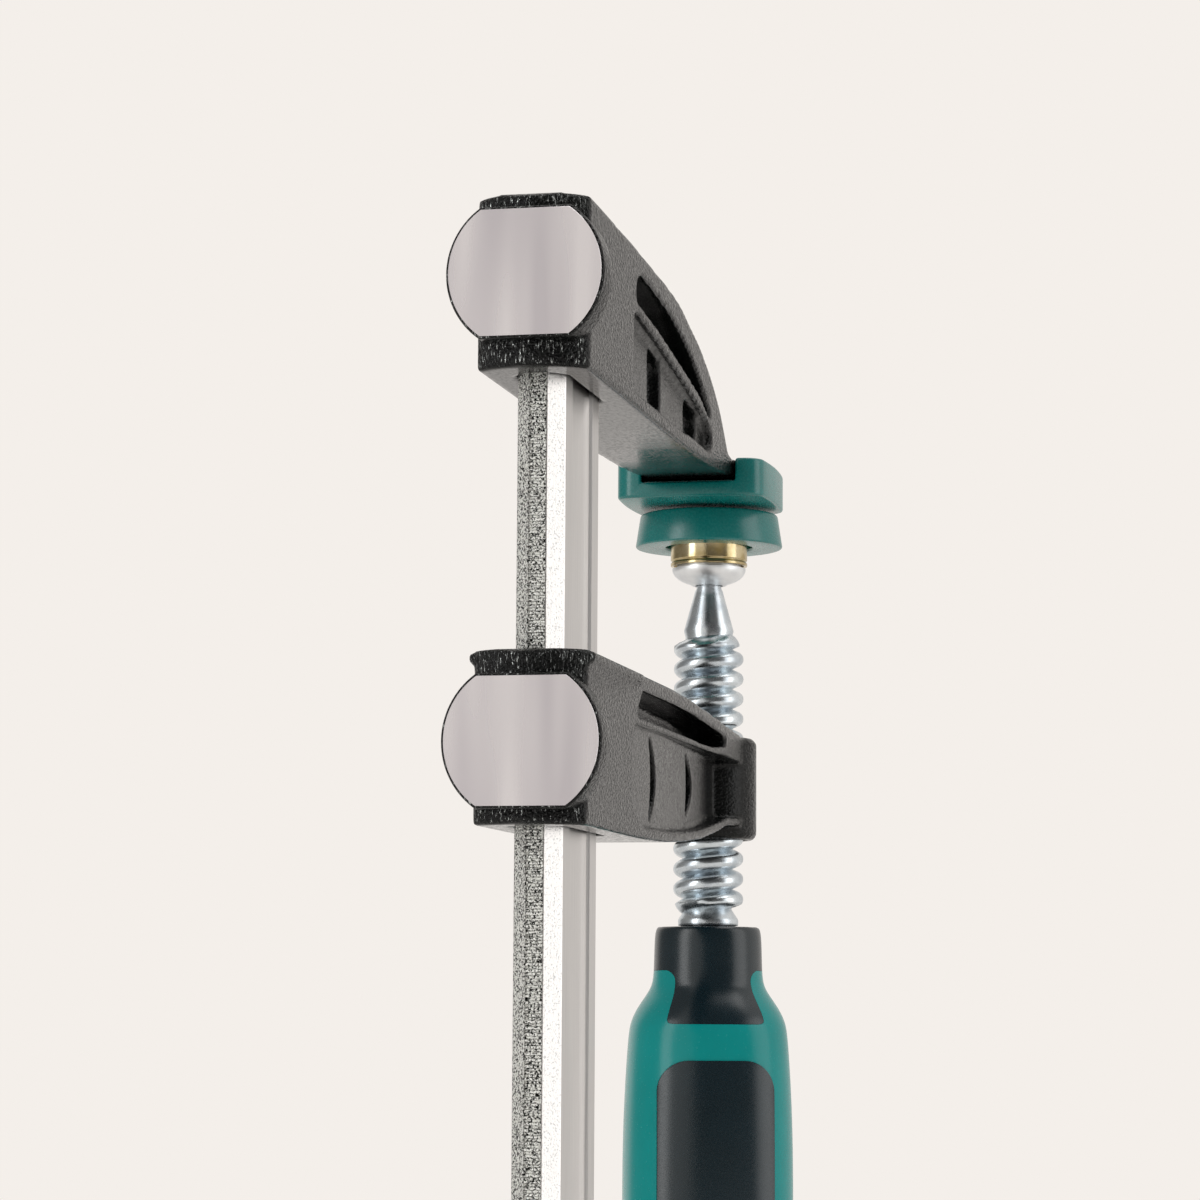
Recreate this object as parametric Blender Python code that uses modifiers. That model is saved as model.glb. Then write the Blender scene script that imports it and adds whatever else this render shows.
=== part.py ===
"""Malleable-iron screw clamp: a fixed jaw and a sliding arm on a flat steel rail, closed by a spindle.

Frame: metres, +Z up along the rail, +X from the rail towards the spindle, Y across the thickness.
The origin is on the spindle axis, in the pressing face of the fixed jaw's soft cap.
"""
import math

import bmesh
import bpy
from mathutils import Matrix, Vector

# Driving dimensions
THROAT = 0.120                 # rail's inner edge to spindle axis
OPENING = 0.300                # widest gap between the two pressing faces
PAD_GAP = 0.0008               # gap between the pressing faces as modelled
SEAT_GAP = 0.0003              # between pieces that rest on each other
ROUND_STEPS = 32               # facets round a turned piece
OVERRUN = 0.004                # how far a cutter reaches past what it cuts
CORNER_POINTS = 3              # points round each corner of a cast section
ARCH_SHARES = (0.67, 0.33)     # points on each half of an arched back

# Rail
RAIL_DEPTH = 0.030             # along X
RAIL_THICKNESS = 0.008         # along Y
RAIL_CHAMFER_X = 0.0027
RAIL_CHAMFER_Y = 0.0024
RAIL_GROOVE_WIDTH = 0.0150
RAIL_GROOVE_FLOOR = 0.0122
RAIL_GROOVE_DEPTH = 0.0009
RAIL_END_LENGTH = 0.0105       # rail below the stop pin's centre
RAIL_TOP_RECESS = 0.0008       # rail's top end below the jaw's back
RAIL_SLIDE_GAP = 0.0004        # between the rail and the slots it runs in

# Stop pin near the rail's lower end
PIN_DIAMETER = 0.005
PIN_LENGTH = 0.015
PIN_WALL = 0.0008
PIN_CLEARANCE = 0.0004         # arm above the pin at the end of its travel
PIN_SLIT = 0.0007

# Ends of both castings, behind the rail
END_WALL = 0.0075              # casting in front of the rail's outer edge
BODY_HALF_WIDTH = 0.0093
STRIKE_RADIUS = 0.0130
STRIKE_HEIGHT = 0.0214
JAW_STRIKE_RISE = 0.0009       # jaw button's middle above the middle of the jaw
ARM_STRIKE_DROP = 0.0008       # arm button's middle below the middle of the arm
STRIKE_STAND = 0.0028          # ground face in front of the casting's end
STRIKE_ROOT = 0.0020           # how far the button runs into the casting
STRIKE_BEVEL = 0.0006
# Each row of the end's rounding: share of the wall's length, share of the half width,
# share of the end lift
END_ROUND_SHARES = ((0.0, 0.70, 1.0), (0.09, 0.84, 0.45), (0.28, 0.955, 0.1), (0.55, 1.0, 0.0))
END_LIFT = 0.0004

# Fixed jaw
JAW_UNDERSIDE = 0.0017         # underside above the pressing face, at the rail
JAW_BACK = 0.0294              # back's edges above the pressing face, at the rail
JAW_TIP_UNDERSIDE = 0.0053
JAW_RISE_POWER = 4             # how late along the reach the underside rises
JAW_TIP_BACK = 0.0072
JAW_LOWER_RADIUS = 0.0013
JAW_UPPER_RADIUS = 0.0011
JAW_CROWN = 0.0013
JAW_CORNER_SHARE = 0.3         # largest corner radius, of the section's height
JAW_NOSE_DEPTH = 0.0100        # rail side of the axis, where the nose runs out in the pad
# Along the reach from the rail's inner edge to the nose: place share, share of the back's
# height above the underside
JAW_BACK_SHARES = (
    (0.0, 0.955), (0.14, 0.935), (0.28, 0.915), (0.39, 0.880), (0.475, 0.815), (0.565, 0.745),
    (0.660, 0.640), (0.755, 0.475), (0.815, 0.310), (0.845, 0.225), (0.89, 0.20), (1.0, 0.20),
)
JAW_WIDTH_TIP = 0.0088         # half width at the nose

# Pockets in the fixed jaw's sides
JAW_POCKET_DEPTH = 0.0046
JAW_PANEL_DEPTH = 0.0016
JAW_SLOT_DEPTH = 0.0048
POCKET_FILLET = 0.0010
JAW_POCKET_START = 0.0015      # pocket's start past the rail's inner edge
JAW_POCKET_LENGTH = 0.0750
# Outlines as shares of the pocket length and of the jaw's height at the rail
JAW_UPPER_POCKET_SHARES = (
    (0.020, 0.665), (0.030, 0.790), (0.085, 0.855), (0.28, 0.825), (0.43, 0.790), (0.58, 0.725),
    (0.71, 0.645), (0.84, 0.530), (0.945, 0.400), (0.985, 0.320), (0.90, 0.385), (0.80, 0.440),
    (0.62, 0.505), (0.30, 0.605),
)
JAW_LOWER_POCKET_SHARES = (
    (0.0, 0.165), (0.0, 0.560), (0.04, 0.590), (0.30, 0.520), (0.60, 0.425), (0.78, 0.365),
    (0.92, 0.300), (0.975, 0.225), (0.95, 0.165),
)
JAW_SLOT_PLACE_SHARES = ((0.235, 0.355), (0.685, 0.315))
JAW_SLOT_HEIGHT = 0.0070
JAW_SLOT_WIDTHS = (0.0080, 0.0115)

# Pad at the fixed jaw's nose and the soft cap on it
CAP_LENGTH = 0.0300            # along X
CAP_WIDTH = 0.0304             # along Y
CAP_HEIGHT = 0.0074
CAP_FLOOR = 0.0027
CAP_WALL = 0.0022
CAP_CORNER = 0.0020
CAP_LOWER_BEVEL = 0.0007
CAP_UPPER_BEVEL = 0.0005
CAP_OFFSET = 0.0085            # cap's centre, rail side of the axis
CAP_NOTCH_LIP = 0.0002         # cap's wall above its floor under the jaw's neck
PAD_THICKNESS = 0.0040
PAD_BEVEL = 0.0008

# Sliding arm
ARM_TOP = 0.0437               # below the pressing face
ARM_HEIGHT = 0.0276
ARM_UPPER_RADIUS = 0.0009
ARM_LOWER_RADIUS = 0.0013
ARM_CROWN = 0.0003
# Along the reach from the rail's inner edge to the boss: place share, top drop share and
# underside rise share of the arm's height, share of the half width
ARM_SHAPE_SHARES = (
    (0.0, 0.0, 0.0, 1.0), (0.13, 0.0, 0.004, 1.0), (0.28, 0.0, 0.020, 0.99),
    (0.42, 0.005, 0.052, 0.98), (0.56, 0.025, 0.100, 0.96), (0.70, 0.050, 0.180, 0.93),
    (0.82, 0.070, 0.255, 0.90), (0.93, 0.085, 0.270, 0.86), (1.0, 0.095, 0.265, 0.80),
)
BOSS_RADIUS = 0.0096
BOSS_DROP = 0.0021             # boss's top below the arm's top
BOSS_HEIGHT = 0.0205
BOSS_BEVEL = 0.0010
SCREW_CLEARANCE = 0.0004       # thread crest to the bore it runs in
BORE_CHAMFER = 0.0008

# Pockets in the arm's sides
ARM_POCKET_DEPTH = 0.0036
ARM_PANEL_DEPTH = 0.0018
ARM_SLOT_DEPTH = 0.0046
ARM_POCKET_START = 0.0010
ARM_POCKET_LENGTH = 0.0860
# Outlines as shares of the pocket length and of the arm's height, down from its top
ARM_UPPER_POCKET_SHARES = (
    (0.055, 0.205), (0.130, 0.078), (0.45, 0.080), (0.75, 0.105), (0.93, 0.140), (0.95, 0.175),
    (0.80, 0.195), (0.45, 0.205),
)
ARM_LOWER_POCKET_SHARES = (
    (0.0, 0.45), (0.012, 0.34), (0.045, 0.275), (0.30, 0.270), (0.65, 0.280), (0.90, 0.325),
    (0.955, 0.42), (0.955, 0.56), (0.88, 0.690), (0.70, 0.800), (0.50, 0.865), (0.30, 0.905),
    (0.13, 0.920), (0.055, 0.855), (0.012, 0.74), (0.0, 0.64),
)
ARM_CRESCENT_PLACE_SHARES = ((0.264, 0.600), (0.655, 0.545))
ARM_CRESCENT_RADIUS = 0.0050
ARM_CRESCENT_WIDTHS = (0.0046, 0.0060)
ARM_CRESCENT_HALF_ANGLE = math.radians(60.0)

# Spindle
SCREW_TRAVEL = 0.032
THREAD_CREST = 0.0070
THREAD_ROOT = 0.0048
THREAD_PITCH = 0.0040
THREAD_CREST_SHARE = 0.22      # of the pitch
THREAD_FLANK_SHARE = 0.25
THREAD_STEPS = 20
THREAD_LENGTH = 0.0578
THREAD_LEAD_IN = 0.0020
THREAD_RUN_IN = 0.0006         # how far the thread's ends run into the spindle's body
THREAD_START_ANGLE = math.radians(9.0)  # turns the thread's facets off the body's
THREAD_END_ANGLE = math.radians(4.0)    # turns the facets that close its ends
BALL_RADIUS = 0.0052
BALL_DEPTH = 0.0096            # ball's centre below the fixed pressing face
NECK_RADIUS = 0.0025
NECK_LENGTH = 0.0014
CONE_LENGTH = 0.0086
CONE_END_RADIUS = 0.0050
SHOULDER_RADIUS = 0.0060
SHOULDER_LENGTH = 0.0012
SHANK_RADIUS = 0.0054
SHANK_CHAMFER = 0.0010
SHANK_FOOT_WALL = 0.0110       # handle between the shank's foot and the end cap's plug

# Swivelling pressure plate, its retainer and its cap
PLATE_RADIUS = 0.0122
PLATE_THICKNESS = 0.0024
PLATE_COLLAR_RADIUS = 0.0077
PLATE_COLLAR_LENGTH = 0.0056
PLATE_BEVEL = 0.0004
SOCKET_BORE = 0.0070
SWIVEL_GAP = 0.0005            # collar's foot above the retainer's flange
RETAINER_RADIUS = 0.0074
RETAINER_SLEEVE_WALL = 0.0010
RETAINER_SLEEVE_RISE = 0.0014
RETAINER_LENGTH = 0.0034
RETAINER_FOOT_WALL = 0.0005
# Down the retainer's bowl: radius share, drop share
RETAINER_SHARES = ((0.985, 0.15), (0.92, 0.40), (0.78, 0.68), (0.60, 0.90))
PLATE_CAP_TOP_RADIUS = 0.0138
PLATE_CAP_BASE_RADIUS = 0.0148
PLATE_CAP_HEIGHT = 0.0066
PLATE_CAP_FLOOR = 0.0020
PLATE_CAP_LIP = 0.0014         # how far the lip reaches in under the plate
PLATE_CAP_EDGE = 0.0004

# Handle
HANDLE_LENGTH = 0.1112
HANDLE_RADIUS = 0.0170         # reference radius of the grip
HANDLE_STEPS = 32
HANDLE_TURN = math.radians(17.5)
# Down the handle: place share, radius share, share of squareness
HANDLE_SHAPE_SHARES = (
    (0.0, 0.585, 0.0), (0.007, 0.629, 0.0), (0.087, 0.629, 0.0), (0.110, 0.666, 0.1),
    (0.137, 0.808, 0.5), (0.165, 0.917, 0.85), (0.193, 0.952, 1.0), (0.313, 1.0, 1.0),
    (0.42, 1.015, 1.0), (0.55, 1.015, 1.0), (0.68, 0.985, 1.0), (0.80, 0.94, 1.0),
    (0.885, 0.935, 0.9), (0.945, 0.955, 0.75), (0.98, 0.88, 0.6), (1.0, 0.70, 0.5),
)
HANDLE_SQUARENESS = 0.075      # share by which the corners stand out
SOFT_DEPTH = 0.0022            # depth of the soft shot in the handle
SOFT_GAP = 0.0003
COLLAR_LENGTH = 0.0086
SKIRT_HALF_WIDTH = 0.0096
SKIRT_LENGTH = 0.0105
# Down the skirt: place share, half width share
SKIRT_SHARES = (
    (0.0, 0.87), (0.08, 0.79), (0.22, 0.755), (0.45, 0.80), (0.75, 0.93), (0.94, 1.0), (1.0, 0.95),
)
PANEL_TOP = 0.0262             # below the handle's top
PANEL_BASE = 0.0120            # handle shown between a panel and the end cap
PANEL_HALF_WIDTH = 0.0115
PANEL_CORNER = 0.0060
PANEL_STAND = 0.0003           # proud of the handle's skin
HANDLE_BORE_GAP = 0.0003
END_CAP_LENGTH = 0.0110
END_CAP_PLUG_RADIUS = 0.0085
END_CAP_PLUG_LENGTH = 0.0070

# Places worked out from the sizes above
RAIL_INNER = -THROAT
RAIL_OUTER = -THROAT - RAIL_DEPTH
RAIL_MIDDLE = -THROAT - RAIL_DEPTH / 2
ARM_TRAVEL = OPENING - PAD_GAP - SCREW_TRAVEL
ARM_UNDERSIDE = -ARM_TOP - ARM_HEIGHT
PIN_CENTRE = ARM_UNDERSIDE - ARM_TRAVEL - PIN_CLEARANCE - PIN_DIAMETER / 2
RAIL_BOTTOM = PIN_CENTRE - RAIL_END_LENGTH
RAIL_TOP = JAW_BACK - RAIL_TOP_RECESS
JAW_HEIGHT = JAW_BACK - JAW_UNDERSIDE
PAD_FACE = CAP_FLOOR + SEAT_GAP
BOSS_TOP = -ARM_TOP - BOSS_DROP
BALL_CENTRE = -BALL_DEPTH
PLATE_TOP = -PAD_GAP - PLATE_CAP_FLOOR - SEAT_GAP
PLATE_UNDERSIDE = PLATE_TOP - PLATE_THICKNESS
COLLAR_FOOT = PLATE_UNDERSIDE - PLATE_COLLAR_LENGTH
RETAINER_TOP = COLLAR_FOOT - SWIVEL_GAP
NECK_TOP = BALL_CENTRE - math.sqrt(BALL_RADIUS ** 2 - NECK_RADIUS ** 2)
CONE_TOP = NECK_TOP - NECK_LENGTH
THREAD_TOP = CONE_TOP - CONE_LENGTH
THREAD_BOTTOM = THREAD_TOP - THREAD_LENGTH
SHOULDER_FOOT = THREAD_BOTTOM - SHOULDER_LENGTH
HANDLE_TOP = SHOULDER_FOOT - SEAT_GAP
HANDLE_BOTTOM = HANDLE_TOP - HANDLE_LENGTH
END_CAP_TOP = HANDLE_BOTTOM + END_CAP_LENGTH
SHANK_FOOT = END_CAP_TOP + END_CAP_PLUG_LENGTH + SHANK_FOOT_WALL
PANEL_LENGTH = HANDLE_LENGTH - PANEL_TOP - PANEL_BASE - END_CAP_LENGTH

PARTS = None
CUTTERS = None


def clear_scene():
    """Remove every object and collection that the file opened with."""
    for existing in list(bpy.data.objects):
        bpy.data.objects.remove(existing, do_unlink=True)
    for existing in list(bpy.data.collections):
        bpy.data.collections.remove(existing)


def make_collection(name):
    """Return a new collection under the scene's own."""
    collection = bpy.data.collections.new(name)
    bpy.context.scene.collection.children.link(collection)
    return collection


def make_material(name, color, roughness, metallic):
    """Return a Principled material with the given finish."""
    material = bpy.data.materials.new(name)
    material.use_nodes = True
    shader = material.node_tree.nodes["Principled BSDF"]
    shader.inputs["Base Color"].default_value = (*color, 1.0)
    shader.inputs["Roughness"].default_value = roughness
    shader.inputs["Metallic"].default_value = metallic
    return material


def add_object(name, mesh, cutter=False):
    """Link a mesh as a part, or as a cutter that the build leaves out."""
    thing = bpy.data.objects.new(name, mesh)
    (CUTTERS if cutter else PARTS).objects.link(thing)
    if cutter:
        thing.hide_render = True
        thing.display_type = "WIRE"
    return thing


def face_outward(bm):
    """Point every face of a closed body away from its inside."""
    bmesh.ops.recalc_face_normals(bm, faces=bm.faces)
    if bm.calc_volume(signed=True) < 0:
        bmesh.ops.reverse_faces(bm, faces=bm.faces)


def mesh_from(bm, name):
    """Turn a bmesh into a mesh with its faces pointing out."""
    face_outward(bm)
    mesh = bpy.data.meshes.new(name)
    bm.to_mesh(mesh)
    bm.free()
    return mesh


def finish(thing, material, angle=35.0):
    """Give a part its material and smooth shading with sharp edges kept."""
    thing.data.materials.clear()
    thing.data.materials.append(material)
    thing.data.shade_smooth()
    thing.data.set_sharp_from_angle(angle=math.radians(angle))
    return thing


def cut(thing, cutter, operation="DIFFERENCE"):
    """Add an exact Boolean with another object."""
    modifier = thing.modifiers.new(cutter.name, "BOOLEAN")
    modifier.operation = operation
    modifier.solver = "EXACT"
    modifier.object = cutter
    return thing


def bevel(thing, width, segments=2, angle=40.0):
    """Round every edge sharper than the angle."""
    modifier = thing.modifiers.new("rounded edges", "BEVEL")
    modifier.width = width
    modifier.segments = segments
    modifier.limit_method = "ANGLE"
    modifier.angle_limit = math.radians(angle)
    return thing


def mirror_across(thing):
    """Copy a cutter to the other side of the clamp's middle plane."""
    modifier = thing.modifiers.new("other side", "MIRROR")
    modifier.use_axis = (False, True, False)
    modifier.merge_threshold = 0.0001
    return thing


def block(name, low, high, cutter=False):
    """Return a box between two corners."""
    bm = bmesh.new()
    bmesh.ops.create_cube(bm, size=1.0)
    size = [b - a for a, b in zip(low, high)]
    middle = [(a + b) / 2 for a, b in zip(low, high)]
    bmesh.ops.scale(bm, vec=size, verts=bm.verts)
    bmesh.ops.translate(bm, vec=middle, verts=bm.verts)
    return add_object(name, mesh_from(bm, name), cutter)


def turned(name, profile, closed=False, steps=ROUND_STEPS, cutter=False):
    """Return a solid turned about Z from (radius, height) points that run down its outer side."""
    mesh = bpy.data.meshes.new(name)
    edges = [(i, i + 1) for i in range(len(profile) - 1)]
    if closed:
        edges.append((len(profile) - 1, 0))
    mesh.from_pydata([(r, 0.0, z) for r, z in profile], edges, [])
    thing = add_object(name, mesh, cutter)
    screw = thing.modifiers.new("turning", "SCREW")
    screw.steps = steps
    screw.render_steps = steps
    screw.use_merge_vertices = True
    screw.merge_threshold = 0.00001
    return thing


def baked(thing, name=None):
    """Replace an object's mesh by its evaluated one, with doubles merged and modifiers gone."""
    graph = bpy.context.evaluated_depsgraph_get()
    mesh = bpy.data.meshes.new_from_object(thing.evaluated_get(graph))
    bm = bmesh.new()
    bm.from_mesh(mesh)
    bmesh.ops.remove_doubles(bm, verts=bm.verts, dist=0.000001)
    face_outward(bm)
    bm.to_mesh(mesh)
    bm.free()
    result = bpy.data.objects.new(name or thing.name, mesh)
    result.matrix_world = thing.matrix_world
    for collection in thing.users_collection:
        collection.objects.link(result)
    result.hide_render = thing.hide_render
    result.display_type = thing.display_type
    label = name or thing.name
    bpy.data.objects.remove(thing)
    result.name = label
    return result


def arc(middle, radius, start, end, count):
    """Return points on a circle from one angle to another, both ends included."""
    steps = [start + (end - start) * i / (count - 1) for i in range(count)]
    return [(middle[0] + radius * math.cos(a), middle[1] + radius * math.sin(a)) for a in steps]


def rounded_rectangle(half_x, half_y, radius, count=4):
    """Return the outline of a rectangle with round corners, anticlockwise."""
    points = []
    for index, (sx, sy) in enumerate(((1, 1), (-1, 1), (-1, -1), (1, -1))):
        start = index * math.pi / 2
        centre = (sx * (half_x - radius), sy * (half_y - radius))
        points += arc(centre, radius, start, start + math.pi / 2, count)
    return points


def flat_solid(name, outline, half_thickness, matrix, cutter=False):
    """Return a flat outline given as a filled curve with thickness, placed by a matrix."""
    curve = bpy.data.curves.new(name, "CURVE")
    curve.dimensions = "2D"
    curve.fill_mode = "BOTH"
    curve.extrude = half_thickness
    spline = curve.splines.new("POLY")
    spline.points.add(len(outline) - 1)
    for point, (u, v) in zip(spline.points, outline):
        point.co = (u, v, 0.0, 1.0)
    spline.use_cyclic_u = True
    guide = add_object(name, curve, cutter)
    guide.matrix_world = matrix
    bpy.context.view_layer.update()
    return baked(guide)


def side_matrix(place_y):
    """Return the matrix that stands an XY outline up in the XZ plane at the given Y."""
    return Matrix.Translation((0.0, place_y, 0.0)) @ Matrix.Rotation(math.pi / 2, 4, "X")


def side_cutter(name, outline, depth, fillet):
    """Return a pair of pocket cutters that reach the given depth into both sides of a casting."""
    outer = BODY_HALF_WIDTH + OVERRUN
    inner = BODY_HALF_WIDTH - depth
    cutter = flat_solid(name, outline, (outer - inner) / 2, side_matrix((outer + inner) / 2), True)
    bm = bmesh.new()
    bm.from_mesh(cutter.data)
    bm.transform(cutter.matrix_world)
    floor = [f for f in bm.faces if all(abs(v.co.y - inner) < fillet / 2 for v in f.verts)]
    floor = bmesh.ops.dissolve_faces(bm, faces=floor)["region"]
    edges = [e for f in floor for e in f.edges]
    bmesh.ops.bevel(bm, geom=edges, offset=fillet, segments=1, affect="EDGES", profile=0.5,
                    clamp_overlap=True)
    cutter.data = mesh_from(bm, name)
    cutter.matrix_world = Matrix.Identity(4)
    return mirror_across(cutter)


def loft(name, rings, cutter=False):
    """Return the solid through a row of rings with equal point counts, capped at both ends."""
    bm = bmesh.new()
    made = [[bm.verts.new(point) for point in ring] for ring in rings]
    count = len(rings[0])
    for one, two in zip(made, made[1:]):
        for i in range(count):
            j = (i + 1) % count
            bm.faces.new((one[i], one[j], two[j], two[i]))
    bm.faces.new(made[0])
    bm.faces.new(list(reversed(made[-1])))
    return add_object(name, mesh_from(bm, name), cutter)


def casting_ring(place, low, high, half_width, lower_radius, upper_radius, crown):
    """Return a cast section across X: rounded lower and upper corners and an arched back."""
    lower = min(lower_radius, half_width, (high - low) / 2)
    upper = min(upper_radius, half_width, (high - low) / 2)
    right_low = arc((half_width - lower, low + lower), lower, -math.pi / 2, 0.0, CORNER_POINTS)
    right_high = arc((half_width - upper, high - upper), upper, 0.0, math.pi / 2, CORNER_POINTS)
    flat = half_width - upper
    arch = [(flat * share, high + crown * (1.0 - share ** 2)) for share in ARCH_SHARES]
    right = right_low + right_high + arch
    left = [(-y, z) for y, z in reversed(right)]
    outline = right + [(0.0, high + crown)] + left
    return [(place, y, z) for y, z in outline]


def end_rings(low, high, lower_radius, upper_radius, crown):
    """Return the sections that round a casting off in front of the rail's outer edge."""
    rings = []
    for place_share, width_share, lift_share in END_ROUND_SHARES:
        place = RAIL_OUTER - END_WALL * (1.0 - place_share)
        lift = END_LIFT * lift_share
        rings.append(casting_ring(place, low + lift, high - lift, BODY_HALF_WIDTH * width_share,
                                  lower_radius, upper_radius, crown))
    return rings


def strike_button(name, middle_height):
    """Return the flat-sided round button whose outer face is ground bright."""
    face = RAIL_OUTER - END_WALL - STRIKE_STAND
    root = RAIL_OUTER - END_WALL + STRIKE_ROOT
    bm = bmesh.new()
    bmesh.ops.create_cone(bm, cap_ends=True, segments=ROUND_STEPS, radius1=STRIKE_RADIUS,
                          radius2=STRIKE_RADIUS, depth=root - face)
    bmesh.ops.rotate(bm, verts=bm.verts, matrix=Matrix.Rotation(math.pi / 2, 3, "Y"))
    for side in (1, -1):
        everything = list(bm.verts) + list(bm.edges) + list(bm.faces)
        flat = (0.0, 0.0, side * STRIKE_HEIGHT / 2)
        cutting = bmesh.ops.bisect_plane(bm, geom=everything, plane_co=flat,
                                         plane_no=(0.0, 0.0, side), clear_outer=True)
        rim = [e for e in cutting["geom_cut"] if isinstance(e, bmesh.types.BMEdge)]
        bmesh.ops.contextual_create(bm, geom=rim)
    bmesh.ops.translate(bm, verts=bm.verts, vec=((face + root) / 2, 0.0, middle_height))
    front = [e for e in bm.edges if all(abs(v.co.x - face) < STRIKE_BEVEL / 2 for v in e.verts)]
    bmesh.ops.bevel(bm, geom=front, offset=STRIKE_BEVEL, segments=1, affect="EDGES", profile=0.5)
    return add_object(name, mesh_from(bm, name), True)


def rail_slot(name, low, high):
    """Return the cutter for the slot that the rail fills or runs in."""
    half = RAIL_THICKNESS / 2 + RAIL_SLIDE_GAP
    near = RAIL_OUTER - RAIL_SLIDE_GAP
    far = RAIL_INNER + RAIL_SLIDE_GAP
    return block(name, (near, -half, low), (far, half, high), cutter=True)


def build_rail(steel):
    """Flat steel rail: chamfered edges and a shallow groove down each side."""
    half_x = RAIL_DEPTH / 2
    half_y = RAIL_THICKNESS / 2
    right = [
        (half_x - RAIL_CHAMFER_X, -half_y), (half_x, -half_y + RAIL_CHAMFER_Y),
        (half_x, half_y - RAIL_CHAMFER_Y), (half_x - RAIL_CHAMFER_X, half_y),
        (RAIL_GROOVE_WIDTH / 2, half_y), (RAIL_GROOVE_FLOOR / 2, half_y - RAIL_GROOVE_DEPTH),
    ]
    left = [(-x, -y) for x, y in right]
    outline = right + left
    middle = Matrix.Translation((RAIL_MIDDLE, 0.0, (RAIL_TOP + RAIL_BOTTOM) / 2))
    rail = flat_solid("rail", outline, (RAIL_TOP - RAIL_BOTTOM) / 2, middle)
    hole = turned("pin hole", [(0.0, RAIL_THICKNESS), (PIN_DIAMETER / 2 + SEAT_GAP, RAIL_THICKNESS),
                               (PIN_DIAMETER / 2 + SEAT_GAP, -RAIL_THICKNESS), (0.0, -RAIL_THICKNESS)],
                  cutter=True)
    across = Matrix.Rotation(math.pi / 2, 4, "X")
    hole.matrix_world = Matrix.Translation((RAIL_MIDDLE, 0.0, PIN_CENTRE)) @ across
    return finish(cut(rail, hole), steel)


def build_end_pin(steel):
    """Slotted spring pin that stops the arm at the rail's lower end."""
    outer = PIN_DIAMETER / 2
    half = PIN_LENGTH / 2
    slit = math.asin(PIN_SLIT / 2 / outer)
    inner = outer - PIN_WALL
    outline = arc((0.0, 0.0), outer, slit, math.tau - slit, 20)
    outline += arc((0.0, 0.0), inner, math.tau - slit, slit, 20)
    matrix = Matrix.Translation((RAIL_MIDDLE, 0.0, PIN_CENTRE)) @ Matrix.Rotation(math.pi / 2, 4, "X")
    return finish(flat_solid("rail_end_pin", outline, half, matrix), steel)


def jaw_pad():
    """Return the flat pad under the fixed jaw's nose, cut to fit inside the soft cap."""
    half_x = CAP_LENGTH / 2 - CAP_WALL - SEAT_GAP
    half_y = CAP_WIDTH / 2 - CAP_WALL - SEAT_GAP
    outline = rounded_rectangle(half_x, half_y, CAP_CORNER - CAP_WALL / 2, 3)
    middle = Matrix.Translation((-CAP_OFFSET, 0.0, PAD_FACE + PAD_THICKNESS / 2))
    return bevel(flat_solid("jaw pad", outline, PAD_THICKNESS / 2, middle, True), PAD_BEVEL, 1)


def build_fixed_jaw(iron):
    """Fixed jaw: a cast beam with pocketed sides, its striking button, rail slot and nose pad."""
    nose = -JAW_NOSE_DEPTH
    reach = nose - RAIL_INNER
    rings = end_rings(JAW_UNDERSIDE, JAW_BACK, JAW_LOWER_RADIUS, JAW_UPPER_RADIUS, JAW_CROWN)
    for place_share, height_share in JAW_BACK_SHARES:
        rise = (JAW_TIP_UNDERSIDE - JAW_UNDERSIDE) * place_share ** JAW_RISE_POWER
        low = JAW_UNDERSIDE + rise
        high = max(JAW_UNDERSIDE + JAW_HEIGHT * height_share, JAW_TIP_BACK)
        width = BODY_HALF_WIDTH + (JAW_WIDTH_TIP - BODY_HALF_WIDTH) * place_share
        thin = (high - low) / JAW_HEIGHT
        largest = (high - low) * JAW_CORNER_SHARE
        rings.append(casting_ring(RAIL_INNER + reach * place_share, low, high, width,
                                  min(JAW_LOWER_RADIUS, largest), min(JAW_UPPER_RADIUS, largest),
                                  JAW_CROWN * thin))
    jaw = loft("fixed_jaw", rings)

    def pocket_points(shares):
        return [(RAIL_INNER + JAW_POCKET_START + JAW_POCKET_LENGTH * u, JAW_UNDERSIDE + JAW_HEIGHT * v)
                for u, v in shares]

    middle_height = (JAW_UNDERSIDE + JAW_BACK) / 2 + JAW_STRIKE_RISE
    cut(jaw, strike_button("jaw button", middle_height), "UNION")
    cut(jaw, jaw_pad(), "UNION")
    cut(jaw, side_cutter("jaw upper pocket", pocket_points(JAW_UPPER_POCKET_SHARES), JAW_POCKET_DEPTH,
                         POCKET_FILLET))
    cut(jaw, side_cutter("jaw lower pocket", pocket_points(JAW_LOWER_POCKET_SHARES), JAW_PANEL_DEPTH,
                         POCKET_FILLET))
    for index, (place, width) in enumerate(zip(pocket_points(JAW_SLOT_PLACE_SHARES), JAW_SLOT_WIDTHS)):
        outline = [(place[0] + x, place[1] + z)
                   for x, z in rounded_rectangle(width / 2, JAW_SLOT_HEIGHT / 2, width / 4, 3)]
        cut(jaw, side_cutter(f"jaw slot {index + 1}", outline, JAW_SLOT_DEPTH, POCKET_FILLET / 2))
    cut(jaw, rail_slot("jaw rail slot", JAW_UNDERSIDE - OVERRUN, JAW_BACK + OVERRUN))
    return finish(jaw, iron)


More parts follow.
